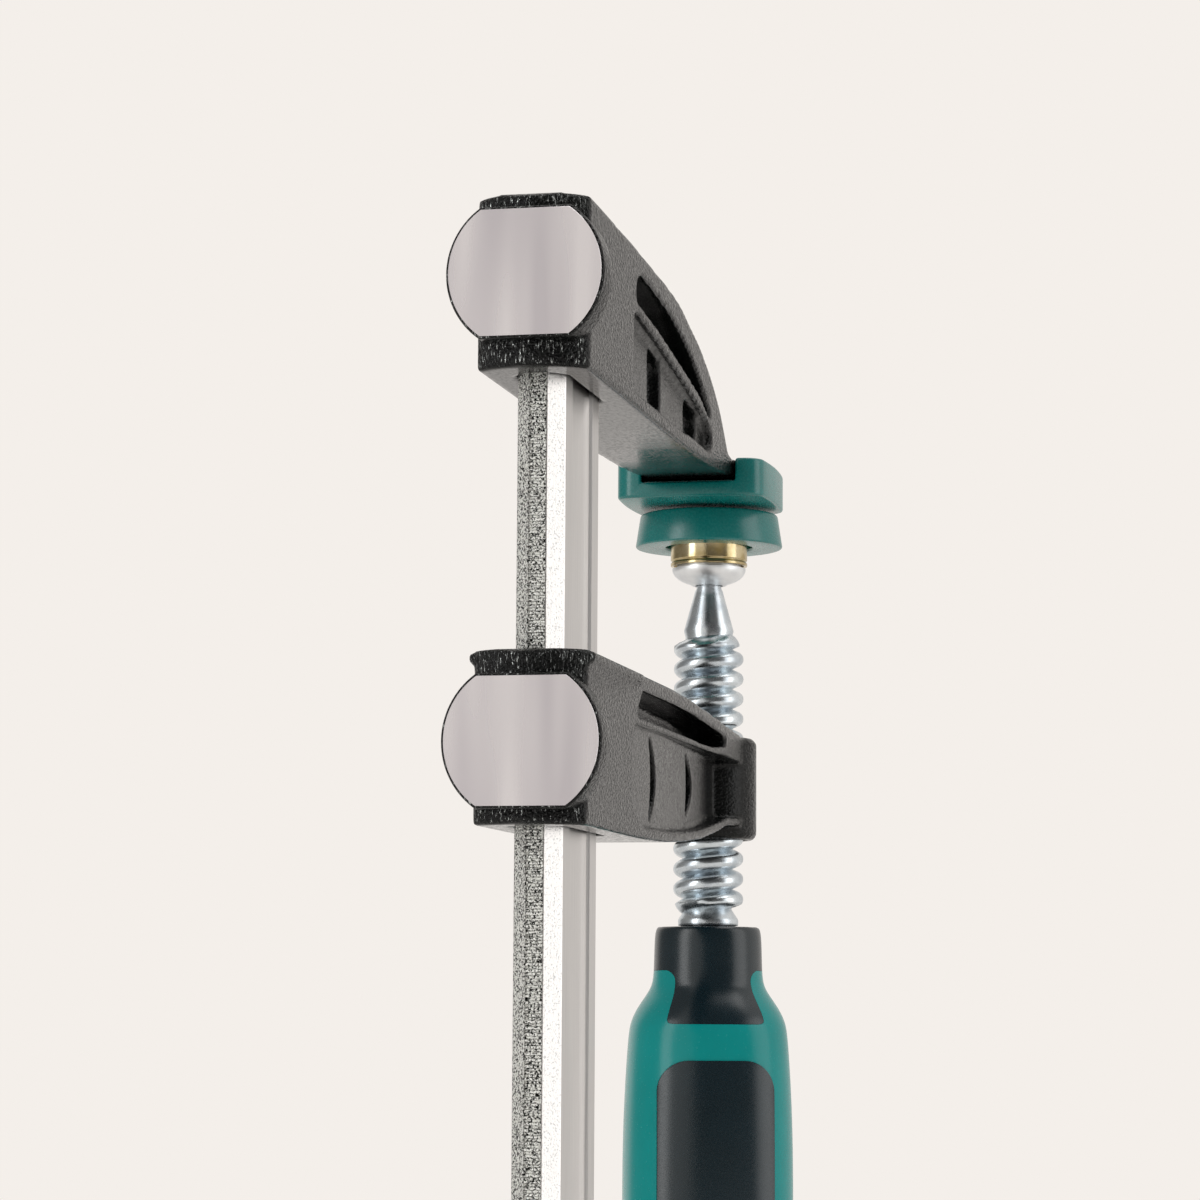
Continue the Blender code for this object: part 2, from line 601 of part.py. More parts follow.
def build_fixed_jaw_cap(soft):
    """Push-on cap over the fixed jaw's pad, open at the top and notched for the jaw's neck."""
    levels = (
        (0.0, CAP_LOWER_BEVEL), (CAP_LOWER_BEVEL, 0.0),
        (CAP_HEIGHT - CAP_UPPER_BEVEL, 0.0), (CAP_HEIGHT, CAP_UPPER_BEVEL),
    )
    rings = []
    for height, inset in levels:
        outline = rounded_rectangle(CAP_LENGTH / 2 - inset, CAP_WIDTH / 2 - inset, CAP_CORNER, 3)
        rings.append([(x - CAP_OFFSET, y, height) for x, y in outline])
    cap = loft("fixed_jaw_cap", rings)
    hollow = rounded_rectangle(CAP_LENGTH / 2 - CAP_WALL, CAP_WIDTH / 2 - CAP_WALL,
                               CAP_CORNER - CAP_WALL / 2, 3)
    depth = CAP_HEIGHT + OVERRUN - CAP_FLOOR
    cut(cap, flat_solid("cap hollow", hollow, depth / 2,
                        Matrix.Translation((-CAP_OFFSET, 0.0, CAP_FLOOR + depth / 2)), True))
    half = JAW_WIDTH_TIP + SEAT_GAP * 2
    near = -CAP_OFFSET - CAP_LENGTH / 2
    cut(cap, block("cap notch", (near - OVERRUN, -half, CAP_FLOOR + CAP_NOTCH_LIP),
                   (near + CAP_WALL * 2, half, CAP_HEIGHT + OVERRUN), cutter=True))
    return finish(cap, soft)


def crescent(place, width):
    """Return the outline of a curved slot that bulges away from the rail."""
    u, v = place
    outer = ARM_CRESCENT_RADIUS + width / 2
    inner = ARM_CRESCENT_RADIUS - width / 2
    half = ARM_CRESCENT_HALF_ANGLE
    cap_start = arc((u + ARM_CRESCENT_RADIUS * math.cos(half), v + ARM_CRESCENT_RADIUS * math.sin(half)),
                    width / 2, half, half + math.pi, 5)
    cap_end = arc((u + ARM_CRESCENT_RADIUS * math.cos(half), v - ARM_CRESCENT_RADIUS * math.sin(half)),
                  width / 2, math.pi - half, math.tau - half, 5)
    return (arc((u, v), outer, -half, half, 8)[:-1] + cap_start
            + arc((u, v), inner, half, -half, 8)[1:-1] + cap_end[:-1])


def build_sliding_arm(iron):
    """Sliding arm: a cast beam with pocketed sides that carries the spindle in a bored boss."""
    reach = -RAIL_INNER
    rings = end_rings(ARM_UNDERSIDE, -ARM_TOP, ARM_LOWER_RADIUS, ARM_UPPER_RADIUS, ARM_CROWN)
    for place_share, drop_share, rise_share, width_share in ARM_SHAPE_SHARES:
        low = ARM_UNDERSIDE + ARM_HEIGHT * rise_share
        high = -ARM_TOP - ARM_HEIGHT * drop_share
        rings.append(casting_ring(RAIL_INNER + reach * place_share, low, high,
                                  BODY_HALF_WIDTH * width_share, ARM_LOWER_RADIUS, ARM_UPPER_RADIUS,
                                  ARM_CROWN))
    arm = loft("sliding_arm", rings)
    base = BOSS_TOP - BOSS_HEIGHT
    boss = turned("arm boss", [(0.0, BOSS_TOP), (BOSS_RADIUS - BOSS_BEVEL, BOSS_TOP),
                               (BOSS_RADIUS, BOSS_TOP - BOSS_BEVEL), (BOSS_RADIUS, base + BOSS_BEVEL),
                               (BOSS_RADIUS - BOSS_BEVEL, base), (0.0, base)], cutter=True)
    cut(arm, boss, "UNION")
    cut(arm, strike_button("arm button", -ARM_TOP - ARM_HEIGHT / 2 - ARM_STRIKE_DROP), "UNION")

    def pocket_points(shares):
        return [(RAIL_INNER + ARM_POCKET_START + ARM_POCKET_LENGTH * u, -ARM_TOP - ARM_HEIGHT * v)
                for u, v in shares]

    cut(arm, side_cutter("arm upper pocket", pocket_points(ARM_UPPER_POCKET_SHARES), ARM_POCKET_DEPTH,
                         POCKET_FILLET))
    cut(arm, side_cutter("arm lower pocket", pocket_points(ARM_LOWER_POCKET_SHARES), ARM_PANEL_DEPTH,
                         POCKET_FILLET))
    places = pocket_points(ARM_CRESCENT_PLACE_SHARES)
    for index, (place, width) in enumerate(zip(places, ARM_CRESCENT_WIDTHS)):
        cut(arm, side_cutter(f"arm crescent {index + 1}", crescent(place, width), ARM_SLOT_DEPTH,
                             POCKET_FILLET / 2))
    cut(arm, rail_slot("arm rail slot", ARM_UNDERSIDE - OVERRUN, -ARM_TOP + OVERRUN))
    bore = THREAD_CREST + SCREW_CLEARANCE
    wide = bore + BORE_CHAMFER
    over = BOSS_TOP + OVERRUN
    below = base - OVERRUN
    cut(arm, turned("screw bore", [(0.0, over), (wide, over), (wide, BOSS_TOP),
                                   (bore, BOSS_TOP - BORE_CHAMFER), (bore, base + BORE_CHAMFER),
                                   (wide, base), (wide, below), (0.0, below)], cutter=True))
    return finish(arm, iron)


def thread_rod(name):
    """Return a right-handed threaded rod that runs past both ends of the spindle's thread."""
    flank = THREAD_PITCH * THREAD_FLANK_SHARE
    crest = THREAD_PITCH * THREAD_CREST_SHARE
    root = THREAD_PITCH - crest - flank - flank
    profile = [(THREAD_ROOT, THREAD_PITCH), (THREAD_ROOT, THREAD_PITCH - root),
               (THREAD_CREST, THREAD_PITCH - root - flank), (THREAD_CREST, flank), (THREAD_ROOT, 0.0)]
    rod = turned(name, profile, steps=THREAD_STEPS, cutter=True)
    screw = rod.modifiers["turning"]
    screw.screw_offset = THREAD_PITCH
    screw.iterations = math.ceil(THREAD_LENGTH / THREAD_PITCH) + 2
    rod = baked(rod, name)
    bm = bmesh.new()
    bm.from_mesh(rod.data)
    open_edges = {e for e in bm.edges if e.is_boundary}
    while open_edges:
        start = open_edges.pop()
        loop = [start]
        ends = set(start.verts)
        grown = True
        while grown:
            grown = False
            for edge in list(open_edges):
                if ends & set(edge.verts):
                    ends |= set(edge.verts)
                    open_edges.remove(edge)
                    loop.append(edge)
                    grown = True
        height = sum(v.co.z for v in ends) / len(ends)
        hub = bm.verts.new((0.0, 0.0, height))
        for edge in loop:
            bm.faces.new((edge.verts[0], edge.verts[1], hub))
    bmesh.ops.translate(bm, verts=bm.verts, vec=(0.0, 0.0, THREAD_BOTTOM - THREAD_PITCH))
    bmesh.ops.rotate(bm, verts=bm.verts, matrix=Matrix.Rotation(THREAD_START_ANGLE, 3, "Z"))
    rod.data = mesh_from(bm, name)
    return rod


def build_spindle(zinc):
    """Spindle: ball, neck and cone, coarse right-hand thread, and the shank inside the handle."""
    crest = THREAD_CREST + SCREW_CLEARANCE / 2
    sleeve = turned("thread envelope", [
        (0.0, THREAD_TOP + THREAD_RUN_IN), (NECK_RADIUS, THREAD_TOP + THREAD_RUN_IN),
        (crest, THREAD_TOP - THREAD_LEAD_IN), (crest, THREAD_BOTTOM + THREAD_LEAD_IN),
        (THREAD_ROOT, THREAD_BOTTOM - THREAD_RUN_IN), (0.0, THREAD_BOTTOM - THREAD_RUN_IN),
    ], cutter=True)
    sleeve.rotation_euler.z = THREAD_END_ANGLE
    thread = cut(thread_rod("thread"), sleeve, "INTERSECT")
    neck_angle = math.pi - math.asin(NECK_RADIUS / BALL_RADIUS)
    ball = [(BALL_RADIUS * math.sin(a), BALL_CENTRE + BALL_RADIUS * math.cos(a))
            for a in (neck_angle * i / 10 for i in range(11))]
    ball[0] = (0.0, BALL_CENTRE + BALL_RADIUS)
    core = THREAD_ROOT - SEAT_GAP / 2
    spindle = turned("spindle", ball + [
        (NECK_RADIUS, CONE_TOP), (CONE_END_RADIUS, THREAD_TOP), (core, THREAD_TOP - THREAD_LEAD_IN),
        (core, THREAD_BOTTOM + THREAD_LEAD_IN), (SHOULDER_RADIUS, THREAD_BOTTOM),
        (SHOULDER_RADIUS, SHOULDER_FOOT), (SHANK_RADIUS, SHOULDER_FOOT),
        (SHANK_RADIUS, SHANK_FOOT + SHANK_CHAMFER), (SHANK_RADIUS - SHANK_CHAMFER, SHANK_FOOT),
        (0.0, SHANK_FOOT),
    ], steps=THREAD_STEPS)
    return finish(cut(spindle, thread, "UNION"), zinc)


def socket_radius(height):
    """Return the radius, at a height, of the sphere that clears the ball by the seat gap."""
    return math.sqrt(max((BALL_RADIUS + SEAT_GAP) ** 2 - (height - BALL_CENTRE) ** 2, 0.0))


def build_pressure_plate(passivated):
    """Swivelling plate with a collar and a domed socket that sits on the spindle's ball."""
    dome_top = BALL_CENTRE + BALL_RADIUS + SEAT_GAP
    dome = [(socket_radius(z), z) for z in (BALL_CENTRE + (dome_top - BALL_CENTRE) * s
                                            for s in (0.15, 0.45, 0.7, 0.88, 0.97))]
    profile = [
        (0.0, PLATE_TOP), (PLATE_RADIUS - PLATE_BEVEL, PLATE_TOP),
        (PLATE_RADIUS, PLATE_TOP - PLATE_BEVEL), (PLATE_RADIUS, PLATE_UNDERSIDE + PLATE_BEVEL),
        (PLATE_RADIUS - PLATE_BEVEL, PLATE_UNDERSIDE),
        (PLATE_COLLAR_RADIUS, PLATE_UNDERSIDE), (PLATE_COLLAR_RADIUS, COLLAR_FOOT + PLATE_BEVEL),
        (PLATE_COLLAR_RADIUS - PLATE_BEVEL, COLLAR_FOOT), (SOCKET_BORE, COLLAR_FOOT),
        (SOCKET_BORE, BALL_CENTRE + SEAT_GAP),
    ] + dome + [(0.0, dome_top)]
    return finish(turned("pressure_plate", profile), passivated)


def build_ball_retainer(zinc):
    """Bright cup under the ball that keeps it in the plate's socket."""
    sleeve_top = RETAINER_TOP + RETAINER_SLEEVE_RISE
    foot = RETAINER_TOP - RETAINER_LENGTH
    neck = NECK_RADIUS + SEAT_GAP
    seat = [(max(socket_radius(z), neck), z)
            for z in (sleeve_top + (foot - sleeve_top) * s for s in (1.0, 0.7, 0.4, 0.0))]
    sleeve = socket_radius(sleeve_top) + RETAINER_SLEEVE_WALL
    drop = RETAINER_LENGTH
    profile = [
        (sleeve, sleeve_top), (sleeve, RETAINER_TOP), (RETAINER_RADIUS, RETAINER_TOP),
    ] + [(RETAINER_RADIUS * radius_share, RETAINER_TOP - drop * drop_share)
         for radius_share, drop_share in RETAINER_SHARES] + [(neck + RETAINER_FOOT_WALL, foot)] + seat
    return finish(turned("ball_retainer", profile, closed=True), zinc)


def build_pressure_plate_cap(soft):
    """Round push-on cap over the pressure plate, with a lip that hooks under its rim."""
    top = -PAD_GAP
    base = top - PLATE_CAP_HEIGHT
    bore = PLATE_RADIUS + SEAT_GAP
    lip = bore - PLATE_CAP_LIP
    ledge = PLATE_UNDERSIDE - SEAT_GAP
    profile = [
        (0.0, top), (PLATE_CAP_TOP_RADIUS - PLATE_CAP_EDGE, top),
        (PLATE_CAP_TOP_RADIUS, top - PLATE_CAP_EDGE), (PLATE_CAP_BASE_RADIUS, base + PLATE_CAP_EDGE),
        (PLATE_CAP_BASE_RADIUS - PLATE_CAP_EDGE, base), (lip, base), (lip, ledge), (bore, ledge),
        (bore, PLATE_TOP + SEAT_GAP), (0.0, PLATE_TOP + SEAT_GAP),
    ]
    return finish(turned("pressure_plate_cap", profile), soft)


def handle_rings(inset):
    """Return the handle's sections; a core taken in by a depth starts that deep under the top."""
    rings = []
    start = HANDLE_TOP - max(inset, 0.0)
    for place_share, radius_share, square_share in HANDLE_SHAPE_SHARES:
        height = HANDLE_TOP - HANDLE_LENGTH * place_share
        if height > start and len(rings) > 0:
            rings.pop()
        height = min(height, start)
        ring = []
        for i in range(HANDLE_STEPS):
            angle = math.tau * i / HANDLE_STEPS
            corner = 1.0 - HANDLE_SQUARENESS * square_share * math.cos(4 * angle) / 2
            radius = HANDLE_RADIUS * radius_share * corner - inset
            turn = angle + HANDLE_TURN
            ring.append((radius * math.cos(turn), radius * math.sin(turn), height))
        rings.append(ring)
    return rings


def facing_matrix():
    """Return the matrix that stands an outline across the handle's front-to-back direction."""
    return (Matrix.Translation((0.0, 0.0, HANDLE_TOP)) @ Matrix.Rotation(HANDLE_TURN, 4, "Z")
            @ Matrix.Rotation(math.pi / 2, 4, "Z") @ Matrix.Rotation(math.pi / 2, 4, "X"))


def skirt_outline(grow):
    """Return the collar's skirt as it shows from the front, grown by a gap."""
    start = -COLLAR_LENGTH + SEAT_GAP * 2
    length = SKIRT_LENGTH + SEAT_GAP * 2 + grow
    right = [(SKIRT_HALF_WIDTH * width_share + grow, start - length * place_share)
             for place_share, width_share in SKIRT_SHARES]
    return [(-x, z) for x, z in right] + right[::-1]


def panel_outline(grow):
    """Return a grip panel as it shows from the front, grown by a gap."""
    middle = -PANEL_TOP - PANEL_LENGTH / 2
    corners = rounded_rectangle(PANEL_HALF_WIDTH + grow, PANEL_LENGTH / 2 + grow, PANEL_CORNER + grow, 5)
    return [(x, z + middle) for x, z in corners]


def collar_region(name, grow):
    """Return the space of the soft collar: a ring round the top and a skirt front and rear."""
    reach = HANDLE_RADIUS * 2
    over = HANDLE_TOP + OVERRUN
    foot = HANDLE_TOP - COLLAR_LENGTH - grow
    ring = turned(name, [(0.0, over), (reach, over), (reach, foot), (0.0, foot)], steps=12, cutter=True)
    skirt = flat_solid(f"{name} skirts", skirt_outline(grow), reach, facing_matrix(), True)
    return cut(ring, skirt, "UNION")


def panel_region(name, grow, side):
    """Return the space of one grip panel, on the front or the rear of the handle."""
    half = HANDLE_RADIUS
    matrix = facing_matrix() @ Matrix.Translation((0.0, 0.0, side * half))
    return flat_solid(name, panel_outline(grow), half, matrix, True)


def handle_bore(name, gap):
    """Return the cutter that clears the spindle's shank."""
    return turned(name, [(0.0, HANDLE_TOP + OVERRUN), (SHANK_RADIUS + gap, HANDLE_TOP + OVERRUN),
                         (SHANK_RADIUS + gap, SHANK_FOOT - gap), (0.0, SHANK_FOOT - gap)],
                  steps=THREAD_STEPS, cutter=True)


def build_handle_body(plastic):
    """Hard shell of the handle: the skin minus the soft shot's recesses, the bore and the end."""
    body = loft("handle_body", handle_rings(0.0))
    core = loft("collar recess core", handle_rings(SOFT_DEPTH + SOFT_GAP), True)
    recess = cut(collar_region("collar recess", SOFT_GAP), core)
    cut(body, recess)
    for label, side in (("front", -1), ("rear", 1)):
        pocket = cut(panel_region(f"panel recess {label}", SOFT_GAP, side),
                     loft(f"panel recess core {label}", handle_rings(SOFT_DEPTH + SOFT_GAP), True))
        cut(body, pocket)
    cut(body, handle_bore("handle bore", HANDLE_BORE_GAP))
    floor = END_CAP_TOP + SOFT_GAP
    reach = HANDLE_RADIUS * 2
    cut(body, turned("handle end trim", [(0.0, floor), (reach, floor), (reach, HANDLE_BOTTOM - OVERRUN),
                                         (0.0, HANDLE_BOTTOM - OVERRUN)], steps=12, cutter=True))
    plug = END_CAP_PLUG_RADIUS + SOFT_GAP
    plug_top = floor + END_CAP_PLUG_LENGTH
    cut(body, turned("handle end socket", [(0.0, plug_top), (plug, plug_top), (plug, floor - OVERRUN),
                                           (0.0, floor - OVERRUN)], steps=THREAD_STEPS, cutter=True))
    return finish(body, plastic)


def build_handle_collar(soft):
    """Soft collar round the handle's top, with a skirt that runs down front and rear."""
    collar = loft("handle_collar", handle_rings(0.0))
    cut(collar, handle_bore("collar bore", HANDLE_BORE_GAP))
    cut(collar, loft("collar core", handle_rings(SOFT_DEPTH), True))
    cut(collar, collar_region("collar space", 0.0), "INTERSECT")
    return finish(collar, soft)


def build_grip_panel(label, side, soft):
    """Soft grip panel set in the handle, a little proud of its skin."""
    panel = loft(f"grip_panel_{label}", handle_rings(-PANEL_STAND))
    cut(panel, panel_region(f"panel space {label}", 0.0, side), "INTERSECT")
    cut(panel, loft(f"panel core {label}", handle_rings(SOFT_DEPTH), True))
    return finish(panel, soft)


def build_handle_end_cap(soft):
    """Soft end cap that closes the handle, with a plug pressed into it."""
    cap = loft("handle_end_cap", handle_rings(0.0))
    reach = HANDLE_RADIUS * 2
    cut(cap, turned("end cap space", [(0.0, END_CAP_TOP), (reach, END_CAP_TOP),
                                      (reach, HANDLE_BOTTOM - OVERRUN), (0.0, HANDLE_BOTTOM - OVERRUN)],
                    steps=12, cutter=True), "INTERSECT")
    plug_top = END_CAP_TOP + END_CAP_PLUG_LENGTH
    cut(cap, turned("end cap plug", [(0.0, plug_top), (END_CAP_PLUG_RADIUS, plug_top),
                                     (END_CAP_PLUG_RADIUS, END_CAP_TOP - OVERRUN),
                                     (0.0, END_CAP_TOP - OVERRUN)],
                    steps=THREAD_STEPS, cutter=True), "UNION")
    return finish(cap, soft)


def hang_on(empty_name, place, children, carrier=None):
    """Parent pieces to an empty on their joint's axis, without moving them."""
    pivot = bpy.data.objects.new(empty_name, None)
    PARTS.objects.link(pivot)
    pivot.matrix_world = Matrix.Translation(place)
    pivot.empty_display_size = THREAD_CREST
    if carrier is not None:
        pivot.parent = carrier
        pivot.matrix_parent_inverse = carrier.matrix_world.inverted()
    for child in children:
        child.parent = pivot
        child.matrix_parent_inverse = Matrix.Translation(place).inverted()
    return pivot


def main():
    """Build every piece of the clamp and group the pieces that move together."""
    global PARTS, CUTTERS
    clear_scene()
    PARTS = make_collection("screw clamp")
    CUTTERS = make_collection("cutters")

    iron = make_material("hammered iron paint", (0.085, 0.084, 0.076), 0.42, 0.35)
    steel = make_material("bright rail steel", (0.56, 0.56, 0.55), 0.34, 1.0)
    zinc = make_material("bright zinc", (0.66, 0.67, 0.68), 0.25, 1.0)
    passivated = make_material("yellow passivated steel", (0.62, 0.47, 0.24), 0.28, 1.0)
    cap_soft = make_material("teal cap plastic", (0.0, 0.155, 0.130), 0.36, 0.0)
    hard = make_material("teal handle plastic", (0.0, 0.205, 0.180), 0.38, 0.0)
    grey_soft = make_material("dark grey soft grip", (0.030, 0.036, 0.036), 0.62, 0.0)

    build_rail(steel)
    build_end_pin(zinc)
    build_fixed_jaw(iron)
    build_fixed_jaw_cap(cap_soft)

    arm = build_sliding_arm(iron)
    plate = build_pressure_plate(passivated)
    plate_cap = build_pressure_plate_cap(cap_soft)
    retainer = build_ball_retainer(zinc)
    spindle = build_spindle(zinc)
    handle = [
        build_handle_body(hard),
        build_handle_collar(grey_soft),
        build_grip_panel("front", -1, grey_soft),
        build_grip_panel("rear", 1, grey_soft),
        build_handle_end_cap(grey_soft),
    ]

    slide = hang_on("arm slide", Vector((RAIL_MIDDLE, 0.0, -ARM_TOP)), [arm])
    feed = hang_on("screw feed", Vector((0.0, 0.0, BALL_CENTRE)), [retainer], slide)
    hang_on("plate tilt", Vector((0.0, 0.0, BALL_CENTRE)), [plate, plate_cap], feed)
    hang_on("spindle turn", Vector((0.0, 0.0, BALL_CENTRE)), [spindle, *handle], feed)


main()
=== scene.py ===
"""Dressed scene of a malleable-iron screw clamp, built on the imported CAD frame.

Frame: metres, +Z up along the rail, +X from the rail towards the spindle, Y across the thickness.
The origin is on the spindle's axis, in the pressing face of the fixed jaw's soft cap.
"""

import logging
import math
from contextlib import contextmanager
from dataclasses import dataclass
from enum import Enum
from typing import Callable, Iterator, Sequence

import bmesh
import bpy
from mathutils import Matrix, Vector


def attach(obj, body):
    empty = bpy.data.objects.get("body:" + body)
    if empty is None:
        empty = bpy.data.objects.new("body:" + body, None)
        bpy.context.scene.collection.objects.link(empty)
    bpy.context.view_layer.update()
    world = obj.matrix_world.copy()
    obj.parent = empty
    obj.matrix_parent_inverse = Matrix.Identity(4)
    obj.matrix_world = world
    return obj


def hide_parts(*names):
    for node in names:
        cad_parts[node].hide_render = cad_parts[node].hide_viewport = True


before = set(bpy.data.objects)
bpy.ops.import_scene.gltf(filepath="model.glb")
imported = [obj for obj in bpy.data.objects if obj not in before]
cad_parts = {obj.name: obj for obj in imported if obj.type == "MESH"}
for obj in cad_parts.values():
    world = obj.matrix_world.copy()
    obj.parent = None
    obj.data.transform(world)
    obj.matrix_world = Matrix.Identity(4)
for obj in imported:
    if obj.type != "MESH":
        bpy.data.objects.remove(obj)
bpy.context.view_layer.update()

LOG = logging.getLogger("screw clamp")
Thing = bpy.types.Object
Point = tuple[float, float, float]
Outline = Sequence[tuple[float, float]]
FlatPoints = list[tuple[float, float]]
Colour = tuple[float, float, float, float]
Socket = bpy.types.NodeSocket

THROAT = 0.120
RAIL_INNER = -THROAT
RAIL_OUTER = -0.150
BODY_HALF_WIDTH = 0.0093
# The rear ends of both castings, and where their edges begin to run out
REAR_END = -0.1575
REAR_CORNER = -0.1560
# The rear end is a shallow arch in plan, which meets the sides at a rounded corner
REAR_PLAN = ((REAR_END, 0.0006), (-0.15735, 0.0020), (-0.15689, 0.0040), (-0.15631, 0.0055),
             (-0.15551, 0.0070), (-0.15467, 0.0082), (-0.15371, 0.0093))
# Heights that a cutter drawn in plan runs between, so that it passes either casting
PLAN_SPAN = (-0.10, 0.05)
# The square cap, and the play between parts that are seated in each other
CAP_LENGTH = 0.0300
CAP_WIDTH = 0.0304
CAP_WALL = 0.0022
CAP_OFFSET = 0.0085
SEAT_GAP = 0.0003
# How far a cutter runs past the surface that it cuts
OVERRUN = 0.004
# Points nearer than the first are merged; points within the second lie in one plane
SAME_POINT = 0.000002
SAME_PLANE = 0.00001
# Points within this height belong to one ring of the grip
SAME_RING = 0.00005
# Places of the colour sockets on a Mix node, which share their names with other sockets
FIRST_COLOUR = 6
SECOND_COLOUR = 7
MIXED_COLOUR = 2


class Body(Enum):
    """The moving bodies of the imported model."""

    FRAME = "frame"
    ARM = "arm"
    BALL_CUP = "ball_cup"
    PLATE = "plate"
    SCREW = "screw"


class Pick(Enum):
    """What an edit-mode selection takes."""

    VERTS = "VERT"
    EDGES = "EDGE"


# Modelling by hand


def clear_selection() -> None:
    """Leave edit mode and deselect everything."""
    if bpy.context.object is not None and bpy.context.object.mode != "OBJECT":
        bpy.ops.object.mode_set(mode="OBJECT")
    bpy.ops.object.select_all(action="DESELECT")


def make_active(thing: Thing) -> None:
    """Select one object alone and make it the active one."""
    clear_selection()
    thing.select_set(True)
    bpy.context.view_layer.objects.active = thing


def name_it(thing: Thing, name: str) -> Thing:
    """Give an object and its mesh one name."""
    thing.name = name
    thing.data.name = name
    return thing


@contextmanager
def editing(thing: Thing) -> Iterator[None]:
    """Work on one object in edit mode, and leave it in object mode."""
    make_active(thing)
    bpy.ops.object.mode_set(mode="EDIT")
    yield
    bpy.ops.object.mode_set(mode="OBJECT")


def apply_transform(thing: Thing) -> None:
    """Work an object's transform into its mesh."""
    make_active(thing)
    bpy.ops.object.transform_apply(location=True, rotation=True, scale=True)


def widen(factor: float, height: float) -> None:
    """Scale the selection from the upright axis, at a height."""
    bpy.ops.transform.resize(value=(factor, factor, 1.0), center_override=(0.0, 0.0, height))


def start_drawing(name: str, start: Point) -> Thing:
    """Start a polyline from a single vertex and stay in edit mode.

    Args:
        name: The new object's name.
        start: Where the line begins.

    Returns:
        The object, in edit mode, with its one vertex selected.
    """
    clear_selection()
    bpy.ops.mesh.primitive_plane_add(size=0.001, location=(0.0, 0.0, 0.0))
    thing = name_it(bpy.context.object, name)
    bpy.ops.object.mode_set(mode="EDIT")
    bpy.ops.mesh.select_mode(type="VERT")
    bpy.ops.mesh.select_all(action="SELECT")
    bpy.ops.mesh.merge(type="CENTER")
    bpy.ops.transform.translate(value=start)
    return thing


def draw_through(start: Point, points: Sequence[Point]) -> None:
    """Extrude the selected vertex from point to point."""
    here = Vector(start)
    for point in points:
        step = Vector(point) - here
        bpy.ops.mesh.extrude_vertices_move(TRANSFORM_OT_translate={"value": step})
        here = Vector(point)


def select_where(thing: Thing, pick: Pick, test: Callable[[Vector, Vector], bool]) -> None:
    """Select the elements of an edited mesh that pass a test.

    Args:
        thing: The object in edit mode.
        pick: Whether vertices or edges are taken.
        test: Called with a vertex's place and normal, or with an edge's middle and direction.
    """
    bpy.ops.mesh.select_mode(type=pick.value)
    bpy.ops.mesh.select_all(action="DESELECT")
    bm = bmesh.from_edit_mesh(thing.data)
    if pick is Pick.EDGES:
        for edge in bm.edges:
            start, end = (vert.co for vert in edge.verts)
            if test((start + end) / 2, (end - start).normalized()):
                edge.select_set(True)
    else:
        for vert in bm.verts:
            if test(vert.co, vert.normal):
                vert.select_set(True)
    bm.select_flush_mode()
    bmesh.update_edit_mesh(thing.data)


def merge_doubles() -> None:
    """Select the whole edited mesh and merge the points that coincide."""
    bpy.ops.mesh.select_all(action="SELECT")
    bpy.ops.mesh.remove_doubles(threshold=SAME_POINT)


def outward() -> None:
    """Merge doubles and point every face of the edited mesh outwards."""
    merge_doubles()
    bpy.ops.mesh.normals_make_consistent(inside=False)


def prism(name: str, outline: Outline, near: float, far: float, axis: str = "Y") -> Thing:
    """Draw a closed outline, fill it and extrude it.

    Args:
        name: The new object's name.
        outline: Points in the plane across the axis, in the order of the other two axes.
        near: Where the outline is drawn along the axis.
        far: Where the extrusion ends along the axis.
        axis: "X", "Y" or "Z".

    Returns:
        The solid, in object mode.
    """
    across = "XYZ".index(axis)
    points = [(*pair[:across], near, *pair[across:]) for pair in outline]
    thing = start_drawing(name, points[0])
    draw_through(points[0], points[1:] + points[:1])
    merge_doubles()
    bpy.ops.mesh.edge_face_add()
    step = Vector()
    step[across] = far - near
    bpy.ops.mesh.extrude_region_move(TRANSFORM_OT_translate={"value": step})
    outward()
    bpy.ops.object.mode_set(mode="OBJECT")
    return thing


def turning(name: str, profile: Outline, steps: int = 64) -> Thing:
    """Spin a (radius, height) profile about Z into a closed solid.

    Args:
        name: The new object's name.
        profile: Points down the outer side; ends off the axis close on each other.
        steps: Facets round the turning.

    Returns:
        The solid, in object mode.
    """
    points = [(r, 0.0, z) for r, z in profile]
    thing = start_drawing(name, points[0])
    closed = profile[0][0] > 0.0 and profile[-1][0] > 0.0
    draw_through(points[0], points[1:] + (points[:1] if closed else []))
    bpy.ops.mesh.select_all(action="SELECT")
    bpy.ops.mesh.spin(steps=steps, angle=math.tau, center=(0.0, 0.0, 0.0), axis=(0.0, 0.0, 1.0))
    outward()
    bpy.ops.object.mode_set(mode="OBJECT")
    return thing


def apply_all(thing: Thing) -> Thing:
    """Apply every modifier of an object in order."""
    make_active(thing)
    for modifier in list(thing.modifiers):
        bpy.ops.object.modifier_apply(modifier=modifier.name)
    return thing


def modify(thing: Thing, kind: str, **settings: object) -> None:
    """Add a modifier of a kind with its settings, in the order given."""
    modifier = thing.modifiers.new(kind.lower(), kind)
    for key, value in settings.items():
        setattr(modifier, key, value)


def combine(thing: Thing, tool: Thing, operation: str) -> Thing:
    """Join or cut an object with a helper, which is then removed.

    Args:
        thing: The object that keeps the result.
        tool: The helper solid.
        operation: "UNION", "DIFFERENCE" or "INTERSECT".

    Returns:
        The changed object.
    """
    modify(thing, "BOOLEAN", operation=operation, solver="EXACT", object=tool)
    apply_all(thing)
    bpy.data.objects.remove(tool, do_unlink=True)
    return thing


def mirrored(thing: Thing) -> Thing:
    """Add the same shape on the clamp's other side."""
    modify(thing, "MIRROR", use_axis=(False, True, False), use_mirror_merge=False)
    return apply_all(thing)


